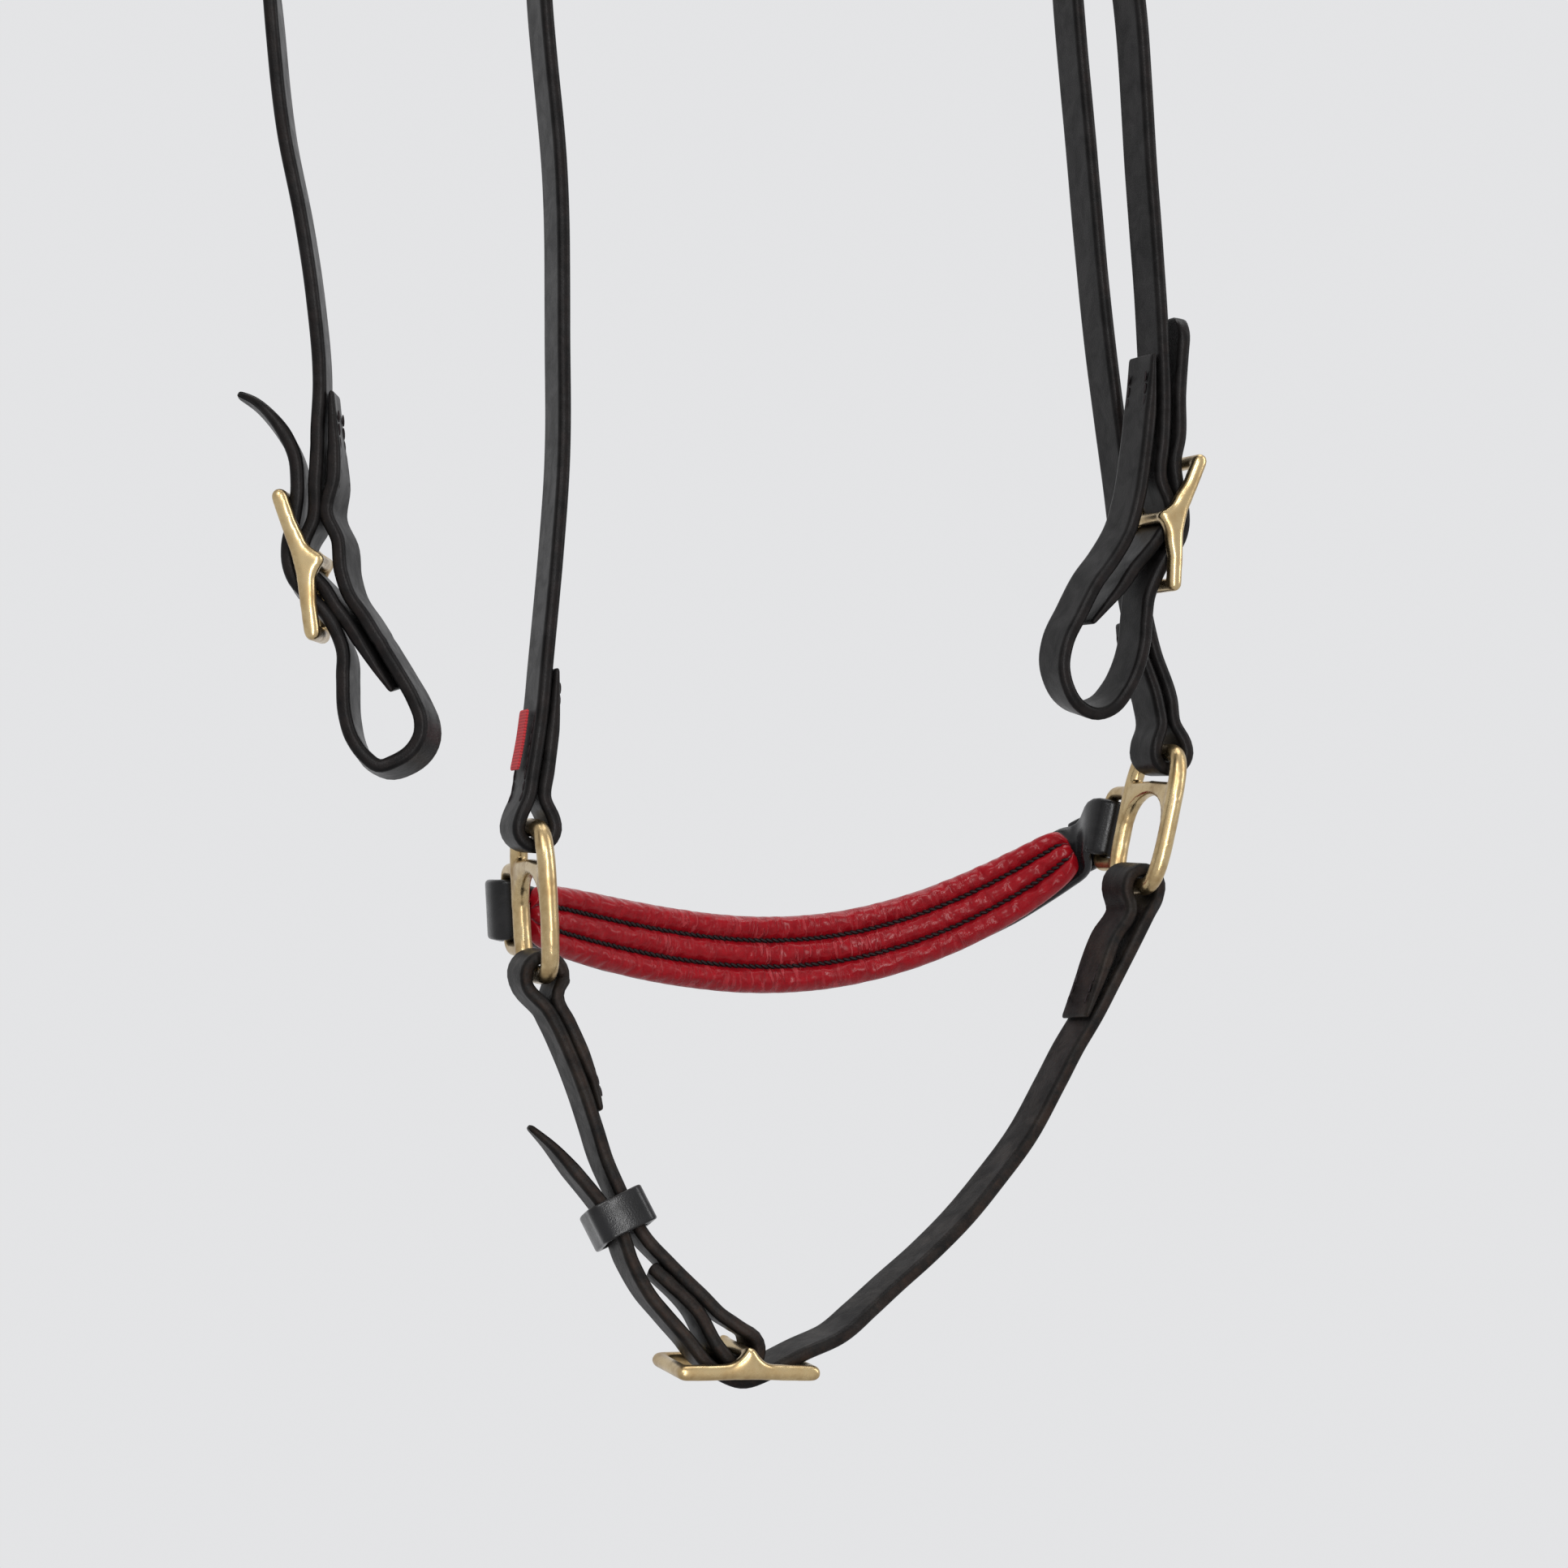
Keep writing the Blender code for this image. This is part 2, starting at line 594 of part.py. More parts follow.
def hanger_straps():
    """The right hanger runs over the poll to the left side, where it buckles to the left hanger. Each is
    folded round its ring and sewn back on itself, on the side towards the horse."""
    hole = stub_cutter(HANGER, BILLET_STUB)
    top = ring_point(RIGHT_RING, RIGHT_ROLL, 0, RING_HALF_HEIGHT)
    over_left = list(reversed(billet(HANGER, [Vector((-89.8, 2.0, -128)), Vector((-85.5, 5.5, -150))])))
    down = [Vector(p) for p in ((66.3, 5, -135), (68.6, 8, -160), (75.9, 14, -253), (78.2, 12.5, -284),
                                (82.2, 9.5, -336), (86.2, 7.6, -370), (89.3, 6.2, -396), (91.9, 4.2, -411),
                                (94.9, 1.6, -422.5), (95.4, 0.8, -428.2))]
    inner = [Vector(p) for p in ((91.8, 0.8, -428.6), (91.2, 1.3, -423.5), (88.4, 4.2, -411), (87.6, 5.2, -403))]
    route = over_left + poll_route(0) + down + arc(top, FOLD, 22, -198, 9) + inner
    seat_ends = (Vector((POLL_LEFT[-1][0], 0, POLL_LEFT[-1][1])), Vector((POLL_RIGHT[0][0], 0, POLL_RIGHT[0][1])))
    mesh = strap_mesh(route, ends=("point", "skived"), keep=seat_ends)
    finish("right_hanger_strap", cut(mesh, [hole, punch(HANGER, PUNCH_AT, UPPER_REST)]), BLACK, 0.45)

    top = ring_point(LEFT_RING, LEFT_ROLL, 0, RING_HALF_HEIGHT)
    down = [Vector(p) for p in ((-57.4, 14, -264), (-54.1, 12.5, -306), (-54.5, 9.5, -339),
                                (-55.5, 6.5, -371), (-58.0, 3.5, -393), (-60.8, 1.5, -416), (-61.9, 1, -426),
                                (-64.2, 0.4, -440), (-65.2, 0.2, -445.6))]
    inner = [Vector(p) for p in ((-61.6, 0.2, -445.8), (-60.8, 0.4, -440), (-59.2, 1, -428), (-58.5, 1.5, -417))]
    route = cheek_top(HANGER) + down + arc(top, FOLD, 155, 380, 9) + inner
    mesh = strap_mesh(route, ends=("square", "skived"))
    finish("left_hanger_strap", cut(mesh, [hole]), BLACK, 0.45)


def bit_cheek(side_name, seat, crown, cheek, cheek_end, doubling, tip, twist, tip_kind, brass, hang):
    """One cheek: the strap from the crown buckle, the doubling strap that holds the bit, and the brass,
    given by its end bars' height and how far its rails dip between them."""
    hole = stub_cutter(seat, BIT_STUB)
    crossing = on_seat(seat, [(3.5, LOWER_CREST - 0.9), (0, LOWER_CREST), (-2.9, LOWER_CREST - 1.4)])
    mesh = strap_mesh(cheek_top(crown) + cheek + crossing + cheek_end, ends=("square", "skived"))
    mesh = cut(mesh, [hole, stub_cutter(crown, BILLET_STUB)])
    finish(f"{side_name}_cheek_strap", hung(mesh, hang), BLACK, 0.5)
    over = on_seat(seat, [(-6.5, UPPER_CREST - 1.9), (-3.5, UPPER_CREST - 0.4), (0, UPPER_CREST),
                          (4, UPPER_CREST - 0.8), (9, UPPER_CREST - 3.2), (14.5, UPPER_CREST - 5.3)])
    mesh = strap_mesh(doubling + over + tip, side=twist, ends=("skived", tip_kind))
    finish(f"{side_name}_bit_strap", hung(cut(mesh, [hole]), hang), BLACK, 0.5)
    buckle(f"{side_name}_bit_buckle", seat, BIT_STUB, *brass, hang=hang)
    buckle(f"{side_name}_crown_buckle", crown, BILLET_STUB)
    keeper(f"{side_name}_crown_keeper", crown.at(KEEPER_AT, -2.7), crown.up, crown.out, KEEPER_STACK)


def chin_straps():
    """The left strap folds round its ring and round the buckle's bar. The right one runs from its ring
    through the buckle and up through the keeper to its tip."""
    hole = stub_cutter(CHIN, BILLET_STUB)
    foot = ring_point(LEFT_RING, LEFT_ROLL, 0, -RING_HALF_HEIGHT)
    inner = [Vector(p) for p in ((-50.6, -7.5, -516.5), (-52.3, -5.5, -508), (-56.8, -3, -496), (-59.0, -1.8, -491))]
    down = [Vector(p) for p in ((-61.2, -3, -494), (-57.0, -5, -503.4), (-53.9, -7, -512.5), (-52.0, -8, -519),
                                (-50.0, -10, -526.7), (-47.9, -12, -532.5), (-45.7, -13.9, -538),
                                (-42.8, -15.8, -543.2), (-38.0, -18, -548.8), (-31.6, -21, -555.6),
                                (-27.4, -23.5, -560.0))]
    over = [Vector(p) for p in ((-23.6, -25.5, -562.8), (-20.8, -26, -564.9), (-20.1, -26, -567.9),
                                (-21.7, -26, -570.7), (-24.9, -26, -570.8))]
    back = [Vector(p) for p in ((-28.9, -25.8, -567.6), (-34.2, -22.5, -559.8), (-40.8, -18.3, -551.4))]
    mesh = strap_mesh(inner + arc(foot, FOLD, -14, 200, 9) + down + over + back, ends=("skived", "square"))
    finish("left_chin_strap", cut(mesh, [hole]), BLACK, 0.6, origin=foot)

    foot = ring_point(RIGHT_RING, RIGHT_ROLL, 0, -RING_HALF_HEIGHT)
    inner = [Vector(p) for p in ((69.2, -4, -498.2), (73.8, -3, -488.9), (78.8, -1.5, -479), (83.0, -0.8, -473))]
    down = [Vector(p) for p in ((86.9, -1.5, -474.5), (77.5, -3, -489.9), (72.4, -4, -497.8), (66.9, -5, -505.3),
                                (61.8, -6.5, -512.9), (53.4, -8.5, -525), (44.0, -11, -534.7),
                                (34.9, -13.5, -543), (25.5, -16, -550), (16.3, -18.5, -556),
                                (7.6, -21.5, -561.5), (-0.6, -24.8, -566))]
    tip = [Vector(p) for p in ((-35.6, -24.4, -565), (-39.5, -21.6, -560), (-42.6, -19.5, -555.8),
                               (-46.0, -17, -549), (-48.9, -14.5, -540.2), (-52.1, -12.6, -535.4),
                               (-56.8, -10.5, -529.2), (-62.1, -9.5, -522.8), (-66.5, -9, -518.6))]
    through = on_seat(CHIN, [(14, UPPER_REST - 0.3), (9, 2.9), (4.5, 5.3), (0, UPPER_CREST), (-4, 5.5), (-8, 3.0)])
    route = inner + list(reversed(arc(foot, FOLD, -25, 178, 9))) + down + through + tip
    mesh = strap_mesh(route, ends=("skived", "point"))
    finish("right_chin_strap", cut(mesh, [hole]), BLACK, 0.6, origin=foot)
    buckle("chin_buckle", CHIN, BILLET_STUB, origin=foot)
    along = Vector((-42.8, -15.8, -543.2)) - Vector((-50.0, -10, -526.7))
    keeper("chin_keeper", Vector((-47.28, -14.1, -539.28)), along, Vector((-0.89, 0, -0.46)), 9.75, length=8.5)


def side_bar(centre, roll_deg):
    """The middle of a ring's side bar, where the noseband folds round it."""
    return ring_point(centre, roll_deg, SIDE_BAR_REACH, (SIDE_BAR_TOP + SIDE_BAR_FOOT) / 2)


NOSE_LEFT = side_bar(LEFT_RING, LEFT_ROLL)
NOSE_RIGHT = side_bar(RIGHT_RING, RIGHT_ROLL)
NOSE_SWING = (ring_point(LEFT_RING, LEFT_ROLL, 0, RING_HALF_HEIGHT)
              + ring_point(RIGHT_RING, RIGHT_ROLL, 0, RING_HALF_HEIGHT)) / 2
NOSE_REACH = 32.0
NOSE_DROOP = 23.2
NOSE_LEAN = 12.0
NOSE_TAPER = 0.1
PAD_SLACK = 0.35
PAD_FROM = 0.115
PAD_TO = 0.892
PAD_HEIGHT = 20.5
PAD_CROWN = 6.2
PAD_STEPS = 26
CHANNELS = 3
CHANNEL_STEPS = 4


def nose_point(share):
    """The noseband's middle line: a forward arc between the rings' side bars that droops in its middle."""
    along = 0.5 - 0.5 * math.cos(math.pi * share)
    reach = NOSE_REACH * math.sin(math.pi * along) ** 0.6
    droop = NOSE_DROOP * math.sin(math.pi * along**1.3) ** 0.75
    droop += NOSE_TAPER * PAD_HEIGHT / 2 * along * math.sin(math.pi * along) ** 0.5
    return NOSE_LEFT.lerp(NOSE_RIGHT, along) + Vector((0, reach, -droop))


def nose_up(place):
    """Across the noseband: in line with each ring at its ends, leaning a little forward in the middle."""
    along = (place.x - NOSE_LEFT.x) / (NOSE_RIGHT.x - NOSE_LEFT.x)
    along = min(1.0, max(0.0, along))
    roll = math.radians(LEFT_ROLL + (RIGHT_ROLL - LEFT_ROLL) * along)
    lean = math.radians(NOSE_LEAN) * math.sin(math.pi * along)
    return Vector((math.sin(roll), math.sin(lean), math.cos(roll) * math.cos(lean)))


def nose_width(share):
    """As wide as the pad in the middle, and a narrower tab at each end."""
    middle = NOSE_WIDTH * (1 - NOSE_TAPER * share)
    return TAB_WIDTH + (middle - TAB_WIDTH) * min(1.0, max(0.0, (0.33 - abs(share - 0.5)) * 12))


def noseband():
    fold = SIDE_BAR + GAP + SOFT_THICK / 2
    turns = []
    for bar, roll, hand in ((NOSE_LEFT, LEFT_ROLL, -1), (NOSE_RIGHT, RIGHT_ROLL, 1)):
        place = Matrix.Rotation(math.radians(roll), 3, "Y")
        around = []
        for i in range(9):
            turn = math.radians(180 * i / 8)
            around.append(bar + place @ Vector((hand * fold * math.cos(turn), -fold * math.sin(turn), 0)))
        turns.append(around)
    middle = [nose_point(i / 28) for i in range(3, 26)]
    left_lap = [Vector((-2.2, 5.5, 0)) + nose_point(3 / 28), Vector((-3.4, 3.4, 0)) + nose_point(1.6 / 28)]
    right_lap = [Vector((3.4, 3.4, 0)) + nose_point(26.4 / 28), Vector((2.2, 5.5, 0)) + nose_point(25 / 28)]
    route = left_lap + turns[0] + middle + list(reversed(turns[1])) + right_lap
    mesh = strap_mesh(route, width=nose_width, thick=SOFT_THICK, side=nose_up, turn_step=NOSE_TURN_STEP)
    finish("noseband_strap", mesh, BLACK, 0.5, origin=NOSE_SWING)


def noseband_pad():
    """Three stuffed channels on the strap's inner face, drawn in at the two stitch lines and at the ends."""
    around = CHANNELS * CHANNEL_STEPS
    rings = []
    for i in range(PAD_STEPS + 1):
        share = PAD_FROM + (PAD_TO - PAD_FROM) * (0.5 - 0.5 * math.cos(math.pi * i / PAD_STEPS))
        here = nose_point(share)
        ahead = (nose_point(share + 0.01) - nose_point(share - 0.01)).normalized()
        up = nose_up(here)
        up = (up - ahead * up.dot(ahead)).normalized()
        inward = ahead.cross(up)
        swell = max(0.25, max(0.0, math.sin(math.pi * i / PAD_STEPS)) ** 0.28)
        back = here + inward * (SOFT_THICK / 2 + GAP + PAD_SLACK)
        half = PAD_HEIGHT / 2 * swell * (1 - NOSE_TAPER * share)
        ring_points = [back + up * half * 0.96 * side for side in (-1, 1)]
        for j in range(around + 1):
            hill = abs(math.sin(math.pi * j / CHANNEL_STEPS))
            depth = PAD_CROWN * swell * (0.42 + 0.58 * hill**0.7) * (1 if 0 < j < around else 0.6)
            ring_points.append(back + up * half * (1 - 2 * j / around) + inward * depth)
        rings.append(ring_points)
    finish("noseband_pad", loft(rings), RED, 0.35, origin=NOSE_SWING)


BROW_LEFT = Vector((-92.7, 0, -98.0))
BROW_RIGHT = Vector((65.2, 0, -98.0))
BROW_REACH = 80.0
BROW_LOOP_DEPTH = WIDTH / 2 + 1.0 + SOFT_THICK / 2
BROW_LOOP_HALF = THICK + GAP + 1.5 + SOFT_THICK / 2
BROW_CORNER = 2.4


def brow_loop(centre, hand):
    """One end of the browband: in along the outside, round the poll straps, and lapped on the inside."""
    line = [Vector((hand * (BROW_LOOP_HALF - 2.2), 36, -1)), Vector((hand * BROW_LOOP_HALF, BROW_LOOP_DEPTH + 4, 0))]
    for side, start in ((1, 0), (-1, -90)):
        for i in range(4):
            turn = math.radians(start - 30 * i)
            line.append(Vector((hand * (side * (BROW_LOOP_HALF - BROW_CORNER) + BROW_CORNER * math.cos(turn)),
                                BROW_CORNER - BROW_LOOP_DEPTH + BROW_CORNER * math.sin(turn), 0)))
    line += [Vector((-hand * BROW_LOOP_HALF, BROW_LOOP_DEPTH - 1, 0)), Vector((-hand * (BROW_LOOP_HALF - 3.0), 18, 0))]
    return [centre + point for point in line]


def browband():
    """Across the forehead, between a loop at each end."""
    front = [BROW_LEFT + Vector((4, 38, -1)), BROW_LEFT + Vector((30, 66, -2)),
             (BROW_LEFT + BROW_RIGHT) / 2 + Vector((0, BROW_REACH, -3)),
             BROW_RIGHT + Vector((-30, 66, -2)), BROW_RIGHT + Vector((-4, 38, -1))]
    route = list(reversed(brow_loop(BROW_LEFT, -1))) + front + brow_loop(BROW_RIGHT, 1)
    finish("browband", strap_mesh(route, width=BROW_WIDTH, thick=SOFT_THICK, side=Vector((0, 0, 1))), BLACK, 0.5,
           origin=BROW_LEFT.lerp(BROW_RIGHT, 0.5))


def hanger_tab():
    """A small plain cloth tab on the outer face of the left hanger, just above its ring fold."""
    route = [Vector((-64.6, 1.0, -426)), Vector((-65.7, 0.7, -433)), Vector((-67.1, 0.4, -439.6))]
    finish("hanger_tab", strap_mesh(route, width=6.0, thick=0.6), RED, 0.8)


bit_cheek("left", LEFT_BIT, LEFT_CROWN, LEFT_CHEEK, LEFT_CHEEK_END, LEFT_DOUBLING, LEFT_TIP, LEFT_TWIST, "point",
          LEFT_BIT_BRASS, LEFT_HANG)
bit_cheek("right", RIGHT_BIT, RIGHT_CROWN, RIGHT_CHEEK, RIGHT_CHEEK_END, RIGHT_DOUBLING, RIGHT_TIP, RIGHT_TWIST,
          "round", RIGHT_BIT_BRASS, 0.0)
crown_strap()
hanger_straps()
buckle("hanger_buckle", HANGER, BILLET_STUB)
keeper("hanger_keeper", HANGER.at(KEEPER_AT, -2.7), HANGER.up, HANGER.out, KEEPER_STACK)
chin_straps()
ring("left_ring", LEFT_RING, LEFT_ROLL)
ring("right_ring", RIGHT_RING, RIGHT_ROLL)
noseband()
noseband_pad()
browband()
hanger_tab()
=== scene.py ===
# %% [markdown]
# A horse bridle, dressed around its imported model.
# The bridle hangs by its poll. Two bit cheekpieces end in loops that hold a bit, a padded noseband hangs on
# straps of its own from two cast rings, and a chin strap closes below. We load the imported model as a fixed
# frame first, so every piece can be laid where its solid is and moves with the same body.

# %% Load the frame
import math
from bisect import bisect_right
from itertools import accumulate

import bmesh
import bpy
from mathutils import Matrix, Vector, noise
from mathutils.geometry import interpolate_bezier


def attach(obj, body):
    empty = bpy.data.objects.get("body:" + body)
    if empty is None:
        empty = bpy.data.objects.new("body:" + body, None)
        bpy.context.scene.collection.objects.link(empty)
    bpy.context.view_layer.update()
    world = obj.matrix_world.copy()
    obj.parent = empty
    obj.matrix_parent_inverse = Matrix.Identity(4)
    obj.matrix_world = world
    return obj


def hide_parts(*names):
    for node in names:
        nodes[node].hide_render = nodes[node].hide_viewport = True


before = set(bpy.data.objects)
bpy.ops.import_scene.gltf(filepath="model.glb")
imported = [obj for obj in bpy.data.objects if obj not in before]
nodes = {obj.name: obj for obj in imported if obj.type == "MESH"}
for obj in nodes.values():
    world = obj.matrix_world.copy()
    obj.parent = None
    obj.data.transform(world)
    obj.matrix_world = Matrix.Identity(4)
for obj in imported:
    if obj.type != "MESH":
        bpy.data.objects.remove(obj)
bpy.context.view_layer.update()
MM = 0.001

# %% [markdown]
# The camera stands where the photographer stood, on the chin's side of the bridle, level with its lower half.
# The bridle is turned about 20 degrees to it. A 50 mm lens on a 24 mm square sensor gives the photograph's
# frame, so no shift is needed.

# %% Camera
CAMERA_PLACE, CAMERA_TURN = (-0.2611, -0.7095, -0.4427), -20


def add_object(name, data):
    """Puts new data in the scene as an object."""
    made = bpy.data.objects.new(name, data)
    bpy.context.scene.collection.objects.link(made)
    return made


camera_data = bpy.data.cameras.new("photo_camera")
camera_data.sensor_width = 24.0
camera_data.lens = 50.0
camera = add_object("photo_camera", camera_data)
camera.location = CAMERA_PLACE
camera.rotation_euler = (math.radians(90), 0, math.radians(CAMERA_TURN))
bpy.context.scene.camera = camera
bpy.context.scene.view_settings.view_transform = "Standard"
print("camera at", tuple(round(v, 3) for v in camera.location))

# %% [markdown]
# Shader trees are many small nodes joined by links. Two helpers keep them readable: one feeds a socket, with a
# link or a plain value, and the other adds a node and feeds its sockets in the same line.

# %% Nodes
def feed(tree, value, socket):
    """Links a socket to another, or sets it to a number, a vector or an opaque colour."""
    if isinstance(value, bpy.types.NodeSocket):
        tree.links.new(value, socket)
    elif socket.type == "RGBA":
        socket.default_value = (*value, 1)
    else:
        socket.default_value = value


def node_in(tree, kind, *sources, **values):
    """Adds a node. Sources feed its inputs in order, values are its properties or its inputs by name."""
    made = tree.nodes.new(kind)
    for name, value in values.items():
        if hasattr(made, name):
            setattr(made, name, value)
        else:
            feed(tree, value, made.inputs[name.replace("_", " ")])
    for value, socket in zip(sources, made.inputs):
        feed(tree, value, socket)
    return made


def blank_look(name):
    """A material with nothing but a Principled shader."""
    look = bpy.data.materials.new(name)
    look.use_nodes = True
    look.node_tree.nodes.clear()
    shader = node_in(look.node_tree, "ShaderNodeBsdfPrincipled")
    node_in(look.node_tree, "ShaderNodeOutputMaterial", shader.outputs[0])
    return look, look.node_tree, shader


print("node helpers ready")

# %% [markdown]
# A plain studio. Black leather shows its shape only by what it reflects, and brass even more so. The camera,
# the reflections and clear things all see one pale background. The light that falls on the bridle is set apart
# from it: brighter from above and from beyond the bridle, with large soft lamps that draw long highlights.

# %% World
PALE, DIM_SKY, BRIGHT_SKY = (0.775, 0.778, 0.79), (0.20, 0.20, 0.21), (1.05, 1.05, 1.08)
BRIGHT_WAY = (0.30, 0.86, 0.42)

world = bpy.data.worlds.new("studio")
world.use_nodes = True
bpy.context.scene.world = world
tree = world.node_tree
tree.nodes.clear()
ray = node_in(tree, "ShaderNodeLightPath").outputs
mirrored = node_in(tree, "ShaderNodeMath", ray["Is Glossy Ray"], ray["Is Transmission Ray"],
                   operation="MAXIMUM")
seen = node_in(tree, "ShaderNodeMath", ray["Is Camera Ray"], mirrored.outputs[0], operation="MAXIMUM")
way = node_in(tree, "ShaderNodeTexCoord").outputs["Generated"]
turned = node_in(tree, "ShaderNodeVectorMath", way, BRIGHT_WAY, operation="DOT_PRODUCT")
share = node_in(tree, "ShaderNodeMapRange", turned.outputs["Value"], From_Min=-0.75, From_Max=0.7)
ramp = node_in(tree, "ShaderNodeValToRGB", share.outputs["Result"])
for element, sky_colour in zip(ramp.color_ramp.elements, (DIM_SKY, BRIGHT_SKY)):
    element.color = (*sky_colour, 1)
sky = node_in(tree, "ShaderNodeBackground", ramp.outputs["Color"])
backdrop = node_in(tree, "ShaderNodeBackground", PALE)
both = node_in(tree, "ShaderNodeMixShader", seen.outputs[0], sky.outputs[0], backdrop.outputs[0])
node_in(tree, "ShaderNodeOutputWorld", both.outputs[0])
print("world", len(tree.nodes), "nodes")

# %% Lamps and floor
LAMPS = (("key", (-0.95, -1.35, 0.75), -0.4, (0.5, 0.9), 15),
         ("fill", (1.3, -0.7, 0.2), -0.4, (0.35, 1.3), 8),
         ("top", (0.2, 0.3, 1.1), -0.3, (1.2, 1.0), 12),
         ("strip", (-0.16, -1.25, -0.33), -0.42, (0.10, 1.1), 9))
FLOOR_RADIUS, FLOOR_LEVEL, FLOOR_COLOUR = 0.42, -0.745, (0.44, 0.442, 0.45)

for name, place, aim, size, power in LAMPS:
    data = bpy.data.lights.new(name, "AREA")
    data.shape = "RECTANGLE"
    data.size, data.size_y = size
    data.energy = power
    lamp = add_object(name, data)
    lamp.location = place
    lamp.rotation_euler = (Vector((0, 0, aim)) - Vector(place)).to_track_quat("-Z", "Y").to_euler()

shape = bmesh.new()
bmesh.ops.create_circle(shape, cap_ends=True, radius=FLOOR_RADIUS, segments=96)
bmesh.ops.translate(shape, verts=shape.verts, vec=(0, 0, FLOOR_LEVEL))
floor_mesh = bpy.data.meshes.new("floor")
shape.to_mesh(floor_mesh)
shape.free()
floor_look, tree, shader = blank_look("pale_floor")
feed(tree, FLOOR_COLOUR, shader.inputs["Base Color"])
feed(tree, 0.9, shader.inputs["Roughness"])
floor_mesh.materials.append(floor_look)
floor = add_object("floor", floor_mesh)
print("lamps", len(LAMPS), "and a floor")

# %% [markdown]
# Leather straps are cut flat, so ours are too. A rounded section is extruded to the strap's length, its end
# is drawn to a point or pared thin, and only then is it bent along its route. A route is a smooth line
# through a few points, with a frame at any distance along it. All places are in millimetres.

# %% Routes through points
SIDE = Vector((0, 1, 0))
WIDTH, THICK, GAP = 13.0, 3.0, 0.3


def slope(points, i):
    """The way from the point before to the point after."""
    return points[min(i + 1, len(points) - 1)] - points[max(i - 1, 0)]


def smooth(points):
    """Dense points on one smooth curve through the given ones."""
    points = [Vector(p) for p in points]
    legs = [b - a for a, b in zip(points, points[1:])]
    ways = [legs[0].normalized()]
    for before, after in zip(legs, legs[1:]):
        way = before.normalized() * after.length + after.normalized() * before.length
        ways.append(way.normalized())
    ways.append(legs[-1].normalized())
    dense = [points[0]]
    for i, leg in enumerate(legs):
        start, end, reach = points[i], points[i + 1], leg.length / 3
        steps = max(2, math.ceil(reach * 3))
        dense += interpolate_bezier(start, start + ways[i] * reach, end - ways[i + 1] * reach, end,
                                    steps + 1)[1:]
    return dense


class Route:
    """A smooth line in space with a frame at any distance along it: ahead, across and out of the face."""

    def __init__(self, points, side=SIDE):
        self.dense = smooth(points)
        self.side = side
        steps = [(b - a).length for a, b in zip(self.dense, self.dense[1:])]
        self.travelled = list(accumulate(steps, initial=0.0))
        self.length = self.travelled[-1]
        self.tangents = [slope(self.dense, i).normalized() for i in range(len(self.dense))]

    def at(self, distance):
        distance = min(max(distance, 0.0), self.length)
        high = min(bisect_right(self.travelled, distance), len(self.dense) - 1)
        low = high - 1
        span = self.travelled[high] - self.travelled[low] or 1.0
        share = (distance - self.travelled[low]) / span
        place = self.dense[low].lerp(self.dense[high], share)
        ahead = self.tangents[low].lerp(self.tangents[high], share).normalized()
        across = self.side(place) if callable(self.side) else self.side
        across = (across - ahead * across.dot(ahead)).normalized()
        return place, ahead, across, ahead.cross(across)


print("route helper ready")

# %% Shaped ends
SKIVE_RUN, SKIVED, POINTED, POINT_RUN = 14.0, 0.4, 0.42, 16.0
RIM = [0.0, 0.12, 0.35, 0.8, 1.5]


def tip_share(kind, distance, half):
    """How much of the half width is left at this distance from a shaped end."""
    if kind == "round" and distance < half:
        return math.sqrt(max(0.02, 1 - (1 - distance / half) ** 2))
    if kind == "point" and distance < POINT_RUN:
        return 0.16 + 0.84 * math.sin(distance / POINT_RUN * math.pi / 2) ** 0.75
    return 1.0


def skive_share(kind, distance):
    """How much of the thickness is left at this distance from an end that is pared."""
    left = {"skived": SKIVED, "point": POINTED}.get(kind, 1.0)
    return left + (1 - left) * min(1.0, distance / SKIVE_RUN)


def ring_distances(length, step):
    """Even steps along the strap, with close ones at its ends, where the cut edge is rounded."""
    inside = length - 2 * RIM[-1]
    count = max(2, math.ceil(inside / step))
    middle = [RIM[-1] + inside * i / count for i in range(1, count)]
    return RIM + middle + [length - d for d in reversed(RIM)]


print("ends ready")

# %% [markdown]
# The flat place of every vertex is kept as an attribute, which the materials read: grain and wear then follow
# the strap round each fold. A second attribute marks the cut edges, where leather is rubbed first.

# %% Flat straps, then bent ones
ROUNDING, WANDER = 0.8, 0.16


def flat_section(thick, edge, rings):
    """A strap's rounded section as a closed bmesh, drawn out so that ring number k stands at height k."""
    shape = bmesh.new()
    bmesh.ops.create_grid(shape, x_segments=8, y_segments=1, size=1.0)
    corners = [v for v in shape.verts if abs(v.co.x) > 0.99]
    for v in shape.verts:
        v.co.x *= WIDTH / 2
        v.co.y *= thick / 2
    bmesh.ops.bevel(shape, geom=corners, offset=edge, offset_type="OFFSET", segments=4, profile=0.5,
                    affect="VERTICES", material=-1)
    bmesh.ops.delete(shape, geom=shape.faces[:], context="FACES_ONLY")
    inner = [e for e in shape.edges if all(abs(v.co.x) < WIDTH / 2 - edge - 0.01 for v in e.verts)
             and e.verts[0].co.y * e.verts[1].co.y < 0]
    bmesh.ops.delete(shape, geom=inner, context="EDGES")
    bmesh.ops.spin(shape, geom=shape.verts[:] + shape.edges[:], cent=(0, 0, 0), axis=(0, 0, 1),
                   dvec=(0, 0, 1), angle=0, steps=rings - 1)
    bmesh.ops.holes_fill(shape, edges=[e for e in shape.edges if e.is_boundary], sides=0)
    bmesh.ops.recalc_face_normals(shape, faces=shape.faces[:])
    return shape


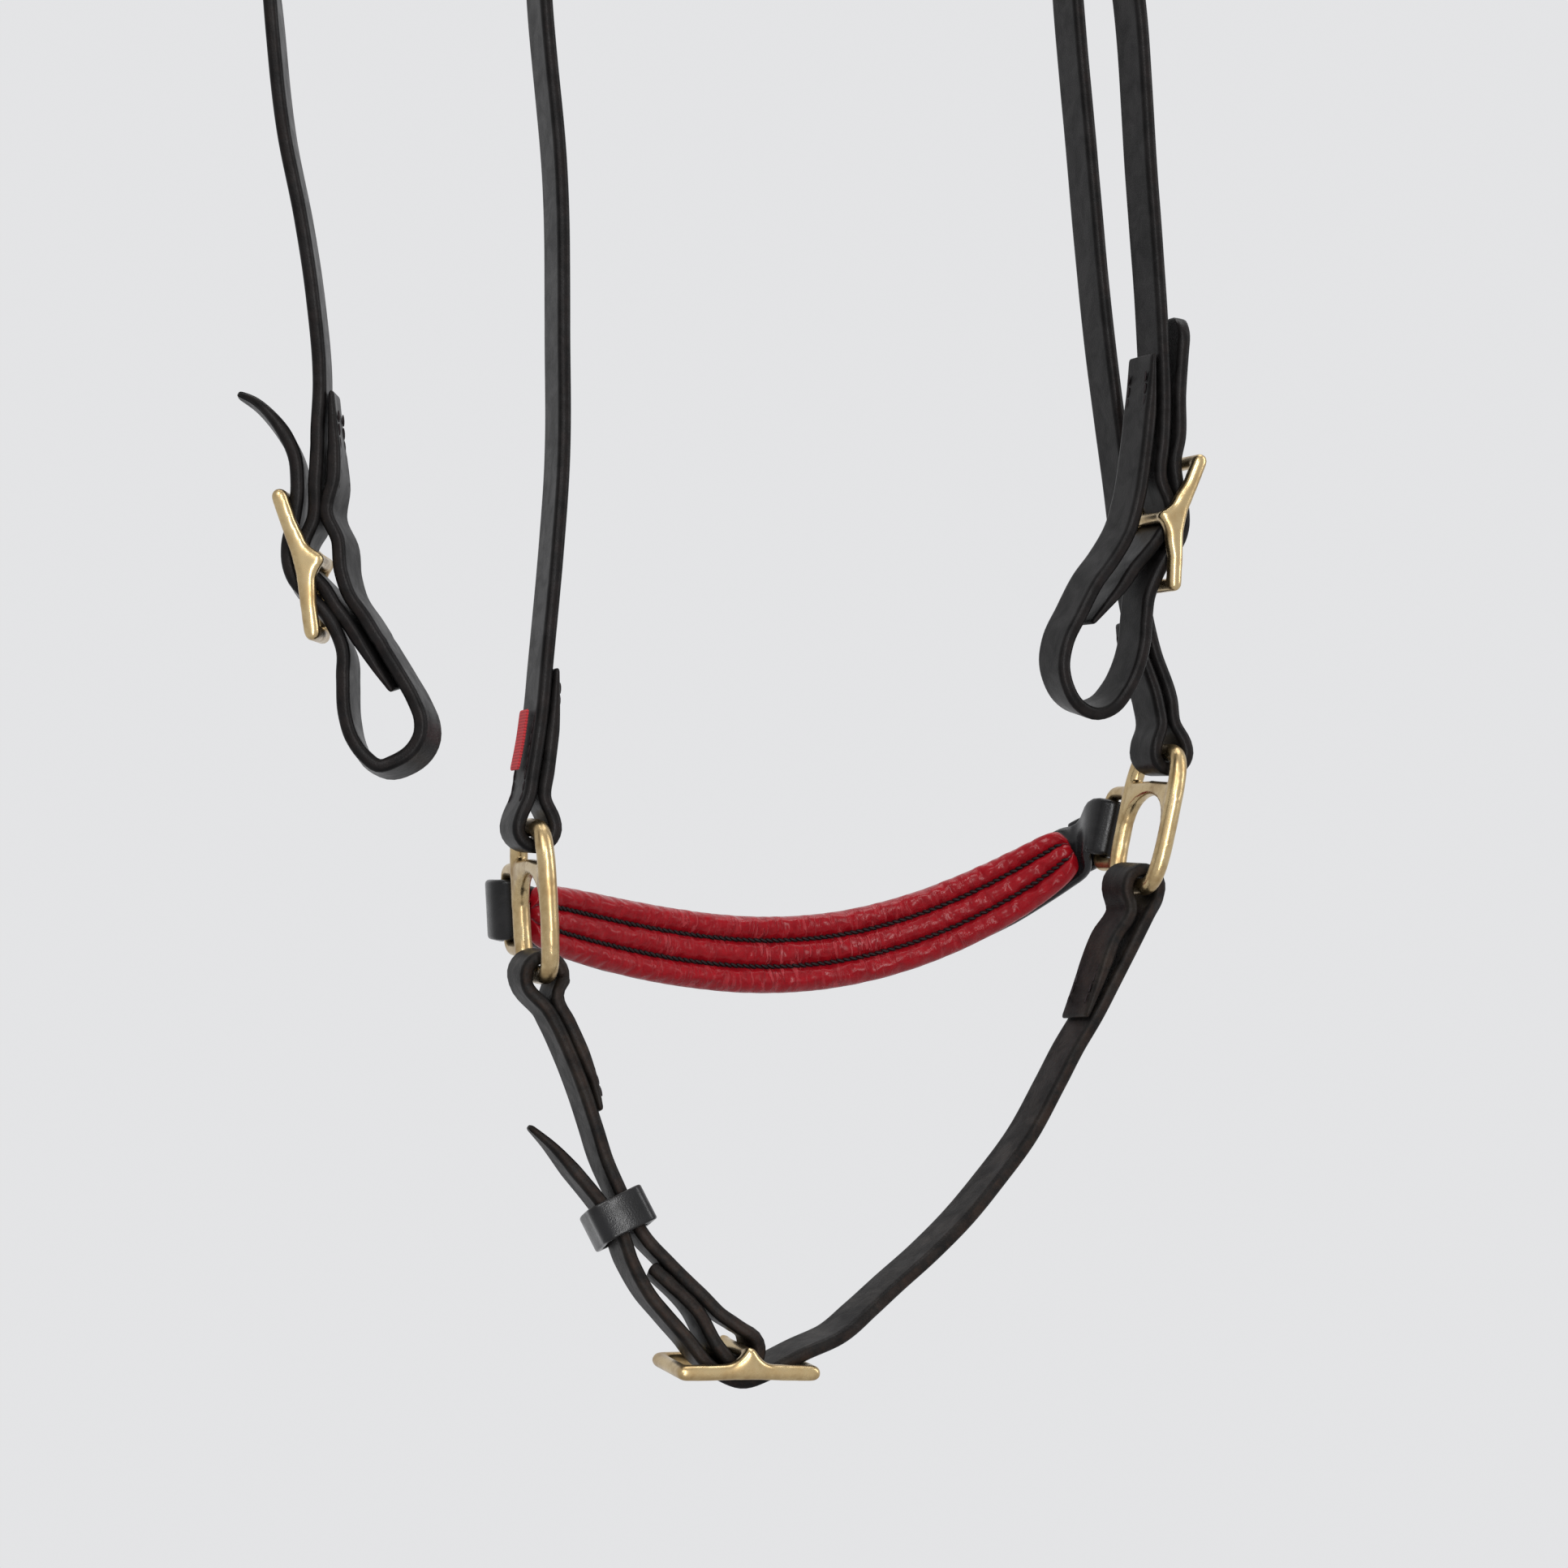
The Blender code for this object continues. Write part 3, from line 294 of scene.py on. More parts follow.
def strap_shape(route, width=WIDTH, thick=THICK, ends=("square", "square"), step=1.1, edge=1.2, seed=0.0):
    """A bmesh strap along a route. Width may be a function of 0 to 1."""
    distances = ring_distances(route.length, step)
    frames = [route.at(d) for d in distances]
    shape = flat_section(thick, edge, len(distances))
    flat = shape.verts.layers.float_vector.new("flat")
    cut = shape.verts.layers.float.new("cut_edge")
    for v in shape.verts:
        k = min(max(round(v.co.z), 0), len(distances) - 1)
        along = distances[k]
        from_end = route.length - along
        half = (width(along / route.length) if callable(width) else width) / 2
        wander = WANDER * noise.noise(Vector((along * 0.06, seed, 1.0 if v.co.x > 0 else 7.0)))
        rim = min(along, from_end, ROUNDING)
        inset = ROUNDING - math.sqrt(max(0.0, ROUNDING**2 - (ROUNDING - rim) ** 2))
        kept = tip_share(ends[0], along, half) * tip_share(ends[1], from_end, half)
        pared = skive_share(ends[0], along) * skive_share(ends[1], from_end)
        limit = max(0.15, half * kept - inset * 0.6 + wander)
        lead = WIDTH / 2 - abs(v.co.x)
        reach = limit - lead if lead < 1.0 else limit * abs(v.co.x) / (WIDTH / 2)
        across = math.copysign(max(0.0, reach), v.co.x)
        height = v.co.y * pared * (1 - 0.75 * inset / ROUNDING)
        place, ahead, side, face = frames[k]
        v[flat] = (along * MM, across * MM, height * MM)
        v[cut] = 1.0 if lead < 0.35 or rim < 0.3 else 0.0
        v.co = (place + side * across + face * height) * MM
    return shape


print("strap helper ready")

# %% [markdown]
# Bridle leather is dyed through and finished with wax. Its faces are a satin charcoal with a fine pore grain,
# and its cut edges are rougher and show a little of the red-brown hide. Edge wear and grain are used by every
# leather, so each is a shader group with its own values in each material.

# %% Shader groups
def shader_group(name, numbers, results):
    """A node group that takes a Vector and named numbers, with its own ends: what it is given and gives."""
    group = bpy.data.node_groups.new(name, "ShaderNodeTree")
    group.interface.new_socket(name="Vector", in_out="INPUT", socket_type="NodeSocketVector")
    for label, value in numbers.items():
        socket = group.interface.new_socket(name=label, in_out="INPUT", socket_type="NodeSocketFloat")
        socket.default_value = value
    for label in results:
        group.interface.new_socket(name=label, in_out="OUTPUT", socket_type="NodeSocketFloat")
    return group, node_in(group, "NodeGroupInput").outputs, node_in(group, "NodeGroupOutput").inputs


def grain_group():
    """Pores and fine creases of leather: a height, and a mask of its darker hollows."""
    group, given, result = shader_group("leather_grain", {"Pores": 1400.0, "Creases": 160.0},
                                        ("Height", "Hollows"))
    pores = node_in(group, "ShaderNodeTexVoronoi", feature="F1", Vector=given["Vector"], Scale=given["Pores"],
                    Randomness=0.9)
    creases = node_in(group, "ShaderNodeTexNoise", Vector=given["Vector"], Scale=given["Creases"], Detail=6.0,
                      Roughness=0.62, Distortion=0.6).outputs["Fac"]
    cells = node_in(group, "ShaderNodeMapRange", pores.outputs["Distance"], From_Min=0.05, From_Max=0.75,
                    To_Min=1.0, To_Max=0.0)
    total = node_in(group, "ShaderNodeMath", cells.outputs["Result"], 0.45, creases, operation="MULTIPLY_ADD")
    hollows = node_in(group, "ShaderNodeMapRange", creases, From_Min=0.62, From_Max=0.38)
    feed(group, total.outputs[0], result["Height"])
    feed(group, hollows.outputs["Result"], result["Hollows"])
    return group


def wear_group():
    """Patchy wear, strongest where the mask is: 0 sound, 1 worn."""
    group, given, result = shader_group("edge_wear", {"Mask": 0.0, "Scale": 300.0, "Amount": 0.5}, ("Wear",))
    patches = node_in(group, "ShaderNodeTexNoise", Vector=given["Vector"], Scale=given["Scale"], Detail=5.0,
                      Roughness=0.7)
    sharp = node_in(group, "ShaderNodeMapRange", patches.outputs["Fac"], From_Min=0.42, From_Max=0.66)
    masked = node_in(group, "ShaderNodeMath", sharp.outputs["Result"], given["Mask"], operation="MULTIPLY")
    worn = node_in(group, "ShaderNodeMath", masked.outputs[0], given["Amount"], operation="MULTIPLY",
                   use_clamp=True)
    feed(group, worn.outputs[0], result["Wear"])
    return group


GRAIN, WEAR = grain_group(), wear_group()
print("groups", GRAIN.name, WEAR.name)

# %% Parts of a finish
def attribute(tree, name):
    """Reads what was stored on the mesh under this name."""
    return node_in(tree, "ShaderNodeAttribute", attribute_name=name).outputs


def placed_group(tree, group, vector, **values):
    """One of the shared groups, with this finish's own values."""
    return node_in(tree, "ShaderNodeGroup", node_tree=group, Vector=vector, **values).outputs


def mixed(tree, first, second, factor):
    """A colour mix of two colours or sockets."""
    made = node_in(tree, "ShaderNodeMix", factor, data_type="RGBA")
    feed(tree, first, made.inputs[6])
    feed(tree, second, made.inputs[7])
    return made.outputs[2]


def roughened(tree, shader, mask, low, high):
    """Roughness that runs between two values by a mask."""
    rough = node_in(tree, "ShaderNodeMapRange", mask, To_Min=low, To_Max=high)
    feed(tree, rough.outputs["Result"], shader.inputs["Roughness"])


def embossed(tree, shader, height, depth):
    """A bump of this depth in millimetres."""
    lift = node_in(tree, "ShaderNodeBump", Strength=1.0, Distance=depth * MM, Height=height)
    feed(tree, lift.outputs["Normal"], shader.inputs["Normal"])


print("finish helpers ready")

# %% Leather finishes
def leather_look(name, face, worn, edge, roughness, pores, bump, gloss):
    """Dyed leather: its face, its worn patches and its rubbed cut edges."""
    look, tree, shader = blank_look(name)
    vector = attribute(tree, "flat")["Vector"]
    grain = placed_group(tree, GRAIN, vector, Pores=pores)
    broad = placed_group(tree, WEAR, vector, Mask=1.0, Scale=90.0, Amount=0.55)
    cut = attribute(tree, "cut_edge")["Fac"]
    rubbed = placed_group(tree, WEAR, vector, Mask=cut, Scale=260.0, Amount=0.4)
    colour = mixed(tree, face, worn, broad["Wear"])
    colour = mixed(tree, colour, [c * 0.35 for c in face], grain["Hollows"])
    colour = mixed(tree, colour, edge, rubbed["Wear"])
    feed(tree, colour, shader.inputs["Base Color"])
    feed(tree, gloss, shader.inputs["Specular IOR Level"])
    roughened(tree, shader, grain["Hollows"], roughness, roughness + 0.09)
    embossed(tree, shader, grain["Height"], bump)
    return look


BRIDLE_LEATHER = leather_look("bridle_leather", (0.0100, 0.0092, 0.0092), (0.0130, 0.0115, 0.0110),
                              (0.020, 0.0135, 0.0120), roughness=0.33, pores=2400.0, bump=0.04, gloss=0.09)
CHIN_LEATHER = leather_look("chin_leather", (0.0095, 0.0086, 0.0081), (0.024, 0.0175, 0.013),
                            (0.040, 0.022, 0.015), roughness=0.42, pores=2200.0, bump=0.07, gloss=0.10)
PATENT_LEATHER = leather_look("noseband_leather", (0.010, 0.010, 0.011), (0.016, 0.015, 0.015),
                              (0.018, 0.015, 0.013), roughness=0.24, pores=2600.0, bump=0.035, gloss=0.26)
print("leathers ready")

# %% [markdown]
# The buckles and rings are sand-cast brass, filed and tumbled. Years of handling leave them pale and smooth
# where they rub, and brown in the hollows. Pointiness from the mesh would not survive the export, so broad and
# fine noise patches stand for the tarnish, with a stored mask of the hollows and a fine pitting in the bump.

# %% Brass, cloth and thread
def brass_look(rubbed, tarnish, hollow_brown, speck):
    """Cast brass, brown in patches and in its hollows, with dark specks there."""
    look, tree, shader = blank_look("aged_brass")
    vector = node_in(tree, "ShaderNodeTexCoord").outputs["Object"]
    hollow = attribute(tree, "hollow")["Fac"]
    patches = placed_group(tree, WEAR, vector, Mask=1.0, Scale=130.0, Amount=0.85)["Wear"]
    specks = placed_group(tree, WEAR, vector, Mask=hollow, Scale=900.0, Amount=1.0)["Wear"]
    colour = mixed(tree, rubbed, tarnish, patches)
    colour = mixed(tree, colour, hollow_brown, hollow)
    colour = mixed(tree, colour, speck, specks)
    feed(tree, colour, shader.inputs["Base Color"])
    feed(tree, 1.0, shader.inputs["Metallic"])
    roughened(tree, shader, patches, 0.24, 0.42)
    pitting = node_in(tree, "ShaderNodeTexNoise", Vector=vector, Scale=700.0, Detail=4.0)
    embossed(tree, shader, pitting.outputs["Fac"], 0.012)
    return look


def cloth_look(name, colour, shade, pitch):
    """Woven cloth: two crossing waves of the given pitch."""
    look, tree, shader = blank_look(name)
    vector = attribute(tree, "flat")["Vector"]
    waves = []
    for axis in ("X", "Y"):
        wave = node_in(tree, "ShaderNodeTexWave", wave_type="BANDS", bands_direction=axis, Vector=vector,
                       Scale=0.314 / pitch)
        waves.append(wave.outputs["Fac"])
    crossed = node_in(tree, "ShaderNodeMath", *waves, operation="MAXIMUM").outputs[0]
    feed(tree, mixed(tree, shade, colour, crossed), shader.inputs["Base Color"])
    feed(tree, 0.85, shader.inputs["Roughness"])
    embossed(tree, shader, crossed, 0.08)
    return look


def thread_look(name, colour):
    """Waxed thread, with fibres that are darker between."""
    look, tree, shader = blank_look(name)
    place = node_in(tree, "ShaderNodeTexCoord").outputs["Object"]
    fibres = node_in(tree, "ShaderNodeTexNoise", Vector=place, Scale=1800.0)
    dark = [c * 0.4 for c in colour]
    feed(tree, mixed(tree, dark, colour, fibres.outputs["Fac"]), shader.inputs["Base Color"])
    feed(tree, 0.55, shader.inputs["Roughness"])
    feed(tree, 0.2, shader.inputs["Specular IOR Level"])
    return look


BRASS = brass_look((0.53, 0.405, 0.218), (0.30, 0.195, 0.085), (0.19, 0.11, 0.045), (0.09, 0.05, 0.025))
RED_CLOTH = cloth_look("red_cloth", (0.52, 0.03, 0.035), (0.16, 0.006, 0.01), 0.0007)
BLACK_THREAD = thread_look("waxed_black_thread", (0.012, 0.006, 0.007))
print("brass, cloth and thread ready")

# %% [markdown]
# Buckles, rings and straps all meet at a few places: the centre bars of the six buckles and the two rings. We
# write each place once, with its directions along and away from the strap, and describe the straps beside it
# in those terms, in millimetres.

# %% Seats of the brass
BAR_REACH, END_BAR, CENTRE_BAR, BAR_HEIGHT = 15.0, 1.5, 1.25, 4.0
RING_ROD, RING_SLACK, RING_HALF_HEIGHT = 2.0, 0.8, 16.6
SIDE_BAR, SIDE_BAR_REACH, SIDE_BAR_TOP, SIDE_BAR_FOOT = 1.6, 22.0, 6.4, -11.6
LOWER_CREST = CENTRE_BAR + GAP + THICK / 2 + 0.2
UPPER_CREST = LOWER_CREST + THICK + GAP
UPPER_REST = BAR_HEIGHT - END_BAR - GAP - THICK / 2
FOLD = RING_ROD + RING_SLACK + THICK / 2
CHEEK_PLANE = -12


class Seat:
    """A buckle's centre bar: its place, the strap's direction, and the direction away from the horse."""

    def __init__(self, x, y, z, up_deg, hand):
        turn = math.radians(up_deg)
        self.origin = Vector((x, y, z))
        self.up = Vector((math.cos(turn), 0, math.sin(turn)))
        self.out = Vector((-math.sin(turn), 0, math.cos(turn))) * hand

    def at(self, along, height):
        return self.origin + self.up * along + self.out * height

    def line(self, *pairs):
        return [self.at(along, height) for along, height in pairs]


LEFT_BIT = Seat(-113.6, CHEEK_PLANE, -394.9, 103.5, 1)
RIGHT_BIT = Seat(84.6, CHEEK_PLANE, -380.0, 77.0, -1)
LEFT_CROWN = Seat(-119.5, -9.5, -183, 80, 1)
RIGHT_CROWN = Seat(72.5, -9.5, -180, 97.5, -1)
HANGER = Seat(-74.5, 9.5, -185, 104, 1)
CHIN = Seat(-23.4, -26, -567.7, -3.5, -1)
LEFT_RING, LEFT_ROLL = Vector((-62.6, 0, -469.0)), -3.0
RIGHT_RING, RIGHT_ROLL = Vector((90.3, 0, -451.2)), 13.0
print("buckle seats 6, rings 2")

# %% Ways round bars and rods
def ring_point(centre, roll_deg, y, z):
    """A place on a ring that hangs turned by its roll."""
    return centre + Matrix.Rotation(math.radians(roll_deg), 3, "Y") @ Vector((0, y, z))


def arc(centre, radius, start_deg, end_deg, steps=8):
    """Points round an upright arc, as leather lies round a rod."""
    found = []
    for i in range(steps + 1):
        turn = math.radians(start_deg + (end_deg - start_deg) * i / steps)
        found.append(Vector(centre) + Vector((math.cos(turn), 0, math.sin(turn))) * radius)
    return found


def billet(seat, from_above):
    """Under one end bar, over the lower strap, under the other end bar, and out to its tip."""
    found = list(from_above)
    for i in range(9):
        along = BAR_REACH * (1 - i / 4)
        bump = 0.5 * (1 + math.cos(math.pi * along / BAR_REACH))
        found.append(seat.at(along, UPPER_REST + (UPPER_CREST - UPPER_REST) * bump))
    return found + seat.line((-24, UPPER_REST), (-38, UPPER_REST), (-52, UPPER_REST + 1.1))


def cheek_top(seat):
    """From its sewn end up the inside, over the buckle's bar and down the outside."""
    around = []
    for i in range(9):
        turn = math.radians(-90 + 22.5 * i)
        around.append(seat.at(LOWER_CREST * math.cos(turn), LOWER_CREST * math.sin(turn)))
    inside = seat.line((-34, -6.2), (-22, -6.2), (-13, -6.0), (-7, -4.7))
    return inside + around + seat.line((-3.3, 2.3), (-6, 0.6), (-9, -1.5), (-13, -2.9), (-22, -3.0),
                                       (-34, -3.0), (-44, -3.0))


print("folds ready")

# %% [markdown]
# Each new strap takes the place of its solid and rides on the same body. Sewn laps get their stitches, which
# are small rounded beads of waxed thread along two rows, sunk a little into the leather.

# %% Dressing and sewing
STITCH, STITCH_WIDE, STITCH_INSET, STITCH_PROUD = 2.9, 0.55, 2.1, 0.04


def new_piece(name, shape, material):
    """Makes a finished, smooth piece of a bmesh, with one material."""
    mesh = bpy.data.meshes.new(name)
    shape.to_mesh(mesh)
    shape.free()
    mesh.shade_smooth()
    mesh.materials.append(material)
    return add_object(name, mesh)


def dress(name, shape, material, body):
    """Puts a finished piece in a node's place."""
    piece = new_piece(name + "_dressed", shape, material)
    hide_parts(name)
    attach(piece, body)
    print(name, len(piece.data.polygons), "faces")
    return piece


def add_bead(shape, spot, across, height, slant, half_size):
    """Adds one stitch to a bmesh: a rounded grain that lies aslant on a strap's face."""
    place, ahead, side, face = spot
    centre = Matrix.Translation(place + side * across + face * height)
    turn = Matrix([[axis[row] for axis in (ahead, side, face)] for row in range(3)]).to_4x4()
    lean = Matrix.Rotation(math.radians(slant), 4, "Z")
    bmesh.ops.create_uvsphere(shape, u_segments=8, v_segments=6, radius=1.0, matrix=Matrix.Scale(MM, 4)
                              @ centre @ turn @ lean @ Matrix.Diagonal((*half_size, 1)))


def add_thread(name, shape, body):
    """Makes a bmesh of stitches a piece of its own."""
    thread = new_piece(name, shape, BLACK_THREAD)
    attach(thread, body)
    print(name, len(thread.data.polygons), "faces")


def stitches(seams):
    """Rows of stitches: each seam is a route, two distances along it, a place across, and a height."""
    shape = bmesh.new()
    half_size = (STITCH * 0.46, STITCH_WIDE / 2, STITCH_WIDE / 2)
    for route, start, end, across, height in seams:
        count = max(1, round(abs(end - start) / STITCH))
        for i in range(count):
            spot = route.at(start + (end - start) * (i + 0.5) / count)
            add_bead(shape, spot, across, height, 6, half_size)
    return shape


def two_rows(route, start, end, sign, width=WIDTH, thick=THICK):
    """Rows along both edges, on the face that the sign names. A distance under 0 counts from the end."""
    start, end = [d + route.length if d < 0 else d for d in (start, end)]
    height = sign * (thick / 2 + STITCH_PROUD)
    edges = (-width / 2 + STITCH_INSET, width / 2 - STITCH_INSET)
    return [(route, start, end, across, height) for across in edges]


print("sewing ready")

# %% [markdown]
# Each bit cheek runs down to its buckle, and a doubling strap comes back up round the bit to hold its end. The
# photograph gives both as lines in one upright plane.

# %% Cheek lines
def cheek_line(*pairs):
    return [Vector((x, CHEEK_PLANE, z)) for x, z in pairs]


LEFT_CHEEK = cheek_line(
    (-125.2, -262), (-124.0, -275.5), (-120.9, -304), (-117.5, -321), (-114.9, -338.2), (-113.4, -357),
    (-113.9, -368), (-114.6, -378), (-114.9, -386))
LEFT_CHEEK_END = cheek_line(
    (-112.3, -400.6), (-108.9, -404.5), (-105.7, -408.2), (-102.5, -412.4), (-98.5, -418.2), (-95.6, -422.3))
LEFT_DOUBLING = cheek_line(
    (-110.9, -358.5), (-110.6, -366), (-110.1, -372), (-109.4, -377.7), (-109.8, -385), (-107.3, -391),
    (-106.6, -397.5), (-105.1, -402.3), (-101.5, -407.8), (-97.9, -413.7), (-94.3, -419.6), (-91.3, -424.9),
    (-89.6, -429.5), (-89.6, -432.5), (-91.3, -435.9), (-94.5, -438.3), (-99.5, -439.4), (-103.8, -437.4),
    (-106.6, -433.6), (-108.2, -428.5), (-108.6, -420.4), (-108.6, -415), (-109.9, -410.9), (-112.1, -407))
LEFT_TIP = cheek_line(
    (-118.2, -378), (-118.7, -373.5), (-120.6, -369), (-124.0, -364.3), (-127.6, -360.9), (-131.6, -358.7))
RIGHT_CHEEK = cheek_line(
    (79.7, -258.8), (82.6, -296.7), (85.8, -338.5), (86.3, -350), (86.0, -362), (85.3, -371))
RIGHT_CHEEK_END = cheek_line(
    (84.4, -385.3), (82.0, -388.2), (78.7, -391.8), (75.3, -396.4), (71.3, -400.8), (67.2, -405.2))
RIGHT_DOUBLING = cheek_line(
    (83.1, -341.4), (82.5, -353.5), (81.2, -365), (79.3, -375.9), (77.3, -382.4), (73.0, -389.5),
    (68.9, -394.7), (64.6, -402.3), (61.0, -409.4), (60.2, -414.7), (61.2, -419.0), (64.0, -423.3),
    (68.2, -425.4), (72.6, -424.3), (76.3, -420.5), (79.2, -415), (80.9, -409), (81.5, -403),
    (82.2, -398), (84.0, -393.5))
RIGHT_TIP = cheek_line((90.2, -360), (90.3, -350), (90.9, -341), (91.8, -332))
print("doublings", len(LEFT_DOUBLING), "and", len(RIGHT_DOUBLING), "points")

# %% [markdown]
# The left cheek hangs turned, so the camera sees its dark face to the right of its cut edge. Below the keeper
# it turns about one upright line, and its loop also twists a little about its own length. A twist is given as
# a slope, and the strap then moves across so that one of its edges stays where the photograph has it.

# %% Turned straps on the left
HANG_MIDDLE, HANG_FROM, HANG_TO, LEFT_HANG = Vector((-118.0, -12.0, 0.0)), -224.0, -282.0, -19.0
BRANCH_X, BRANCH_Z, LOOP_Z, BUCKLE_X, CHEEK_END_Z = -104, -406, -412, -111.5, -398
DOUBLING_STEPS = ((-370, 0.0), (-378, 0.10), (-386, 0.2))
CHEEK_STEPS = ((-370, 0.0), (-378, 0.13), (-388, 0.13), (-395, 0.0))
CHEEK_END_STEPS = ((-400, 0.0), (-404, 0.10), (-408, 0.15), (-412, 0.20), (-418, 0.22))


def eased(share):
    share = min(1.0, max(0.0, share))
    return 3 * share**2 - 2 * share**3


def between(steps, z):
    """A value read off falling steps of (height, value)."""
    z = min(z, steps[0][0])
    for (high, a), (low, b) in zip(steps, steps[1:]):
        if z >= low:
            return a + (b - a) * (high - z) / (high - low)
    return steps[-1][1]


def hung(shape, degrees):
    """Turns a cheek about its upright middle line: more and more below its keeper, then all by one angle."""
    middle = HANG_MIDDLE * MM
    for v in shape.verts:
        turned = eased((HANG_FROM - v.co.z / MM) / (HANG_FROM - HANG_TO))
        v.co = middle + Matrix.Rotation(math.radians(degrees) * turned, 3, "Z") @ (v.co - middle)
    return shape


def rising(place):
    """Whether a place is on the loop's left branch, which rises to the buckle."""
    return place.x < BRANCH_X and place.z < BRANCH_Z


def doubling_turn(place):
    """How far the left doubling is twisted, as a slope."""
    if rising(place):
        return 0.11 * eased((BRANCH_X - place.x) / 4.5) * eased((BRANCH_Z - place.z) / 14)
    if place.z < LOOP_Z:
        return 0.2 * eased((place.x - BRANCH_X) / 5.1)
    return 0.0 if place.x < BUCKLE_X else between(DOUBLING_STEPS, place.z)


def in_cheek(place):
    """Whether a place is on the left cheek above its buckle, rather than on its end below."""
    return place.z > CHEEK_END_Z


def cheek_turn(place):
    """How far the left cheek is twisted, as a slope."""
    return between(CHEEK_STEPS if in_cheek(place) else CHEEK_END_STEPS, place.z)


def slid(points, turn, near_still):
    """Moves a twisted strap so that its near edge, or else its far one, stays where it was."""
    return [Vector((p.x + (1 if near_still(p) else -1) * WIDTH / 2 * turn(p), p.y, p.z)) for p in points]


LEFT_DOUBLING = slid(LEFT_DOUBLING, doubling_turn, rising)
LEFT_CHEEK = slid(LEFT_CHEEK, cheek_turn, in_cheek)
LEFT_CHEEK_END = slid(LEFT_CHEEK_END, cheek_turn, in_cheek)
print("left cheek turned", LEFT_HANG, "degrees")

# %% Cheeks
def dress_cheek(hand, seat, crown, cheek, cheek_end, doubling, tip, sides, tip_kind, hang):
    """A cheek and the doubling strap that buckles over it, with the stitches of both."""
    crossing = seat.line((3.5, LOWER_CREST - 0.9), (0, LOWER_CREST), (-2.9, LOWER_CREST - 1.4))
    strap = Route(cheek_top(crown) + cheek + crossing + cheek_end, sides[0])
    shape = strap_shape(strap, ends=("square", "skived"), seed=len(hand))
    dress(hand + "_cheek_strap", hung(shape, hang), BRIDLE_LEATHER, "head")
    over = seat.line((-6.5, UPPER_CREST - 1.9), (-3.5, UPPER_CREST - 0.4), (0, UPPER_CREST),
                     (4, UPPER_CREST - 0.8), (9, UPPER_CREST - 3.2), (14.5, UPPER_CREST - 5.3))
    holder = Route(doubling + over + tip, sides[1])
    shape = strap_shape(holder, ends=("skived", tip_kind), seed=3 + len(hand))
    dress(hand + "_bit_strap", hung(shape, hang), BRIDLE_LEATHER, "head")
    sign = -1 if seat.out.x > 0 else 1
    seams = two_rows(strap, 3, 20, sign) + two_rows(holder, 4, 24, sign, thick=THICK * 0.8)
    add_thread(hand + "_cheek_stitches", hung(stitches(seams), hang), "head")


left_sides = (lambda place: Vector((cheek_turn(place), 1, 0)),
              lambda place: Vector((doubling_turn(place), 1, -0.15)))
dress_cheek("left", LEFT_BIT, LEFT_CROWN, LEFT_CHEEK, LEFT_CHEEK_END, LEFT_DOUBLING, LEFT_TIP, left_sides,
            "point", LEFT_HANG)
dress_cheek("right", RIGHT_BIT, RIGHT_CROWN, RIGHT_CHEEK, RIGHT_CHEEK_END, RIGHT_DOUBLING, RIGHT_TIP,
            (SIDE, Vector((0, 1, 0.17))), "round", 0.0)

# %% [markdown]
# Over the poll run two straps: the wide crown strap that carries the bit cheeks, and under it the hanger of
# the noseband. Both go under the browband's loops and end in punched billets.

# %% Poll straps
POLL = [(-91.0, -112), (-91.0, -96), (-87.5, -70), (-76.0, -38), (-52.0, -10), (-24.0, 0.6),
        (-9.0, THICK / 2), (9.0, THICK / 2), (24.0, 0.6), (42.0, -10), (55.0, -38), (60.5, -70),
        (63.5, -96), (64.5, -112)]
CROWN_LIFT, CROWN_WIDER = THICK + GAP + 0.35, 7.0


def poll_route(lift):
    """The line over the poll, raised by a lift."""
    flat = [Vector((x, 0, z)) for x, z in POLL]
    return [point + slope(flat, i).cross(SIDE).normalized() * lift for i, point in enumerate(flat)]


def crown_width(share):
    return WIDTH + CROWN_WIDER * eased((0.28 - abs(share - 0.5)) / 0.14)


def dress_strap(name, route, material=BRIDLE_LEATHER, body="head", slot="black_leather", **cut):
    """Cuts a strap, bends it along its route and puts it in its node's place."""
    dress(name, strap_shape(route, **cut), material, body)


left = reversed(billet(LEFT_CROWN, [(-100.0, -2.5, -126), (-110.0, -6.0, -149)]))
right = billet(RIGHT_CROWN, [(71.0, -2.5, -130), (71.2, -6.5, -149)])
crown = Route([*left, *poll_route(CROWN_LIFT), *right])
dress_strap("crown_strap", crown, width=crown_width, ends=("point", "point"), seed=11)

# %% Hangers
left = reversed(billet(HANGER, [(-89.8, 2.0, -128), (-85.5, 5.5, -150)]))
down = [(66.3, 5, -135), (68.6, 8, -160), (75.9, 14, -253), (78.2, 12.5, -284), (82.2, 9.5, -336),
        (86.2, 7.6, -370), (89.3, 6.2, -396), (91.9, 4.2, -411), (94.9, 1.6, -422.5), (95.4, 0.8, -428.2)]
inner = [(91.8, 0.8, -428.6), (91.2, 1.3, -423.5), (88.4, 4.2, -411), (87.6, 5.2, -403)]
top = ring_point(RIGHT_RING, RIGHT_ROLL, 0, RING_HALF_HEIGHT)
right_hanger = Route([*left, *poll_route(0), *down, *arc(top, FOLD, 22, -198, 9), *inner])
dress_strap("right_hanger_strap", right_hanger, ends=("point", "skived"), seed=17)

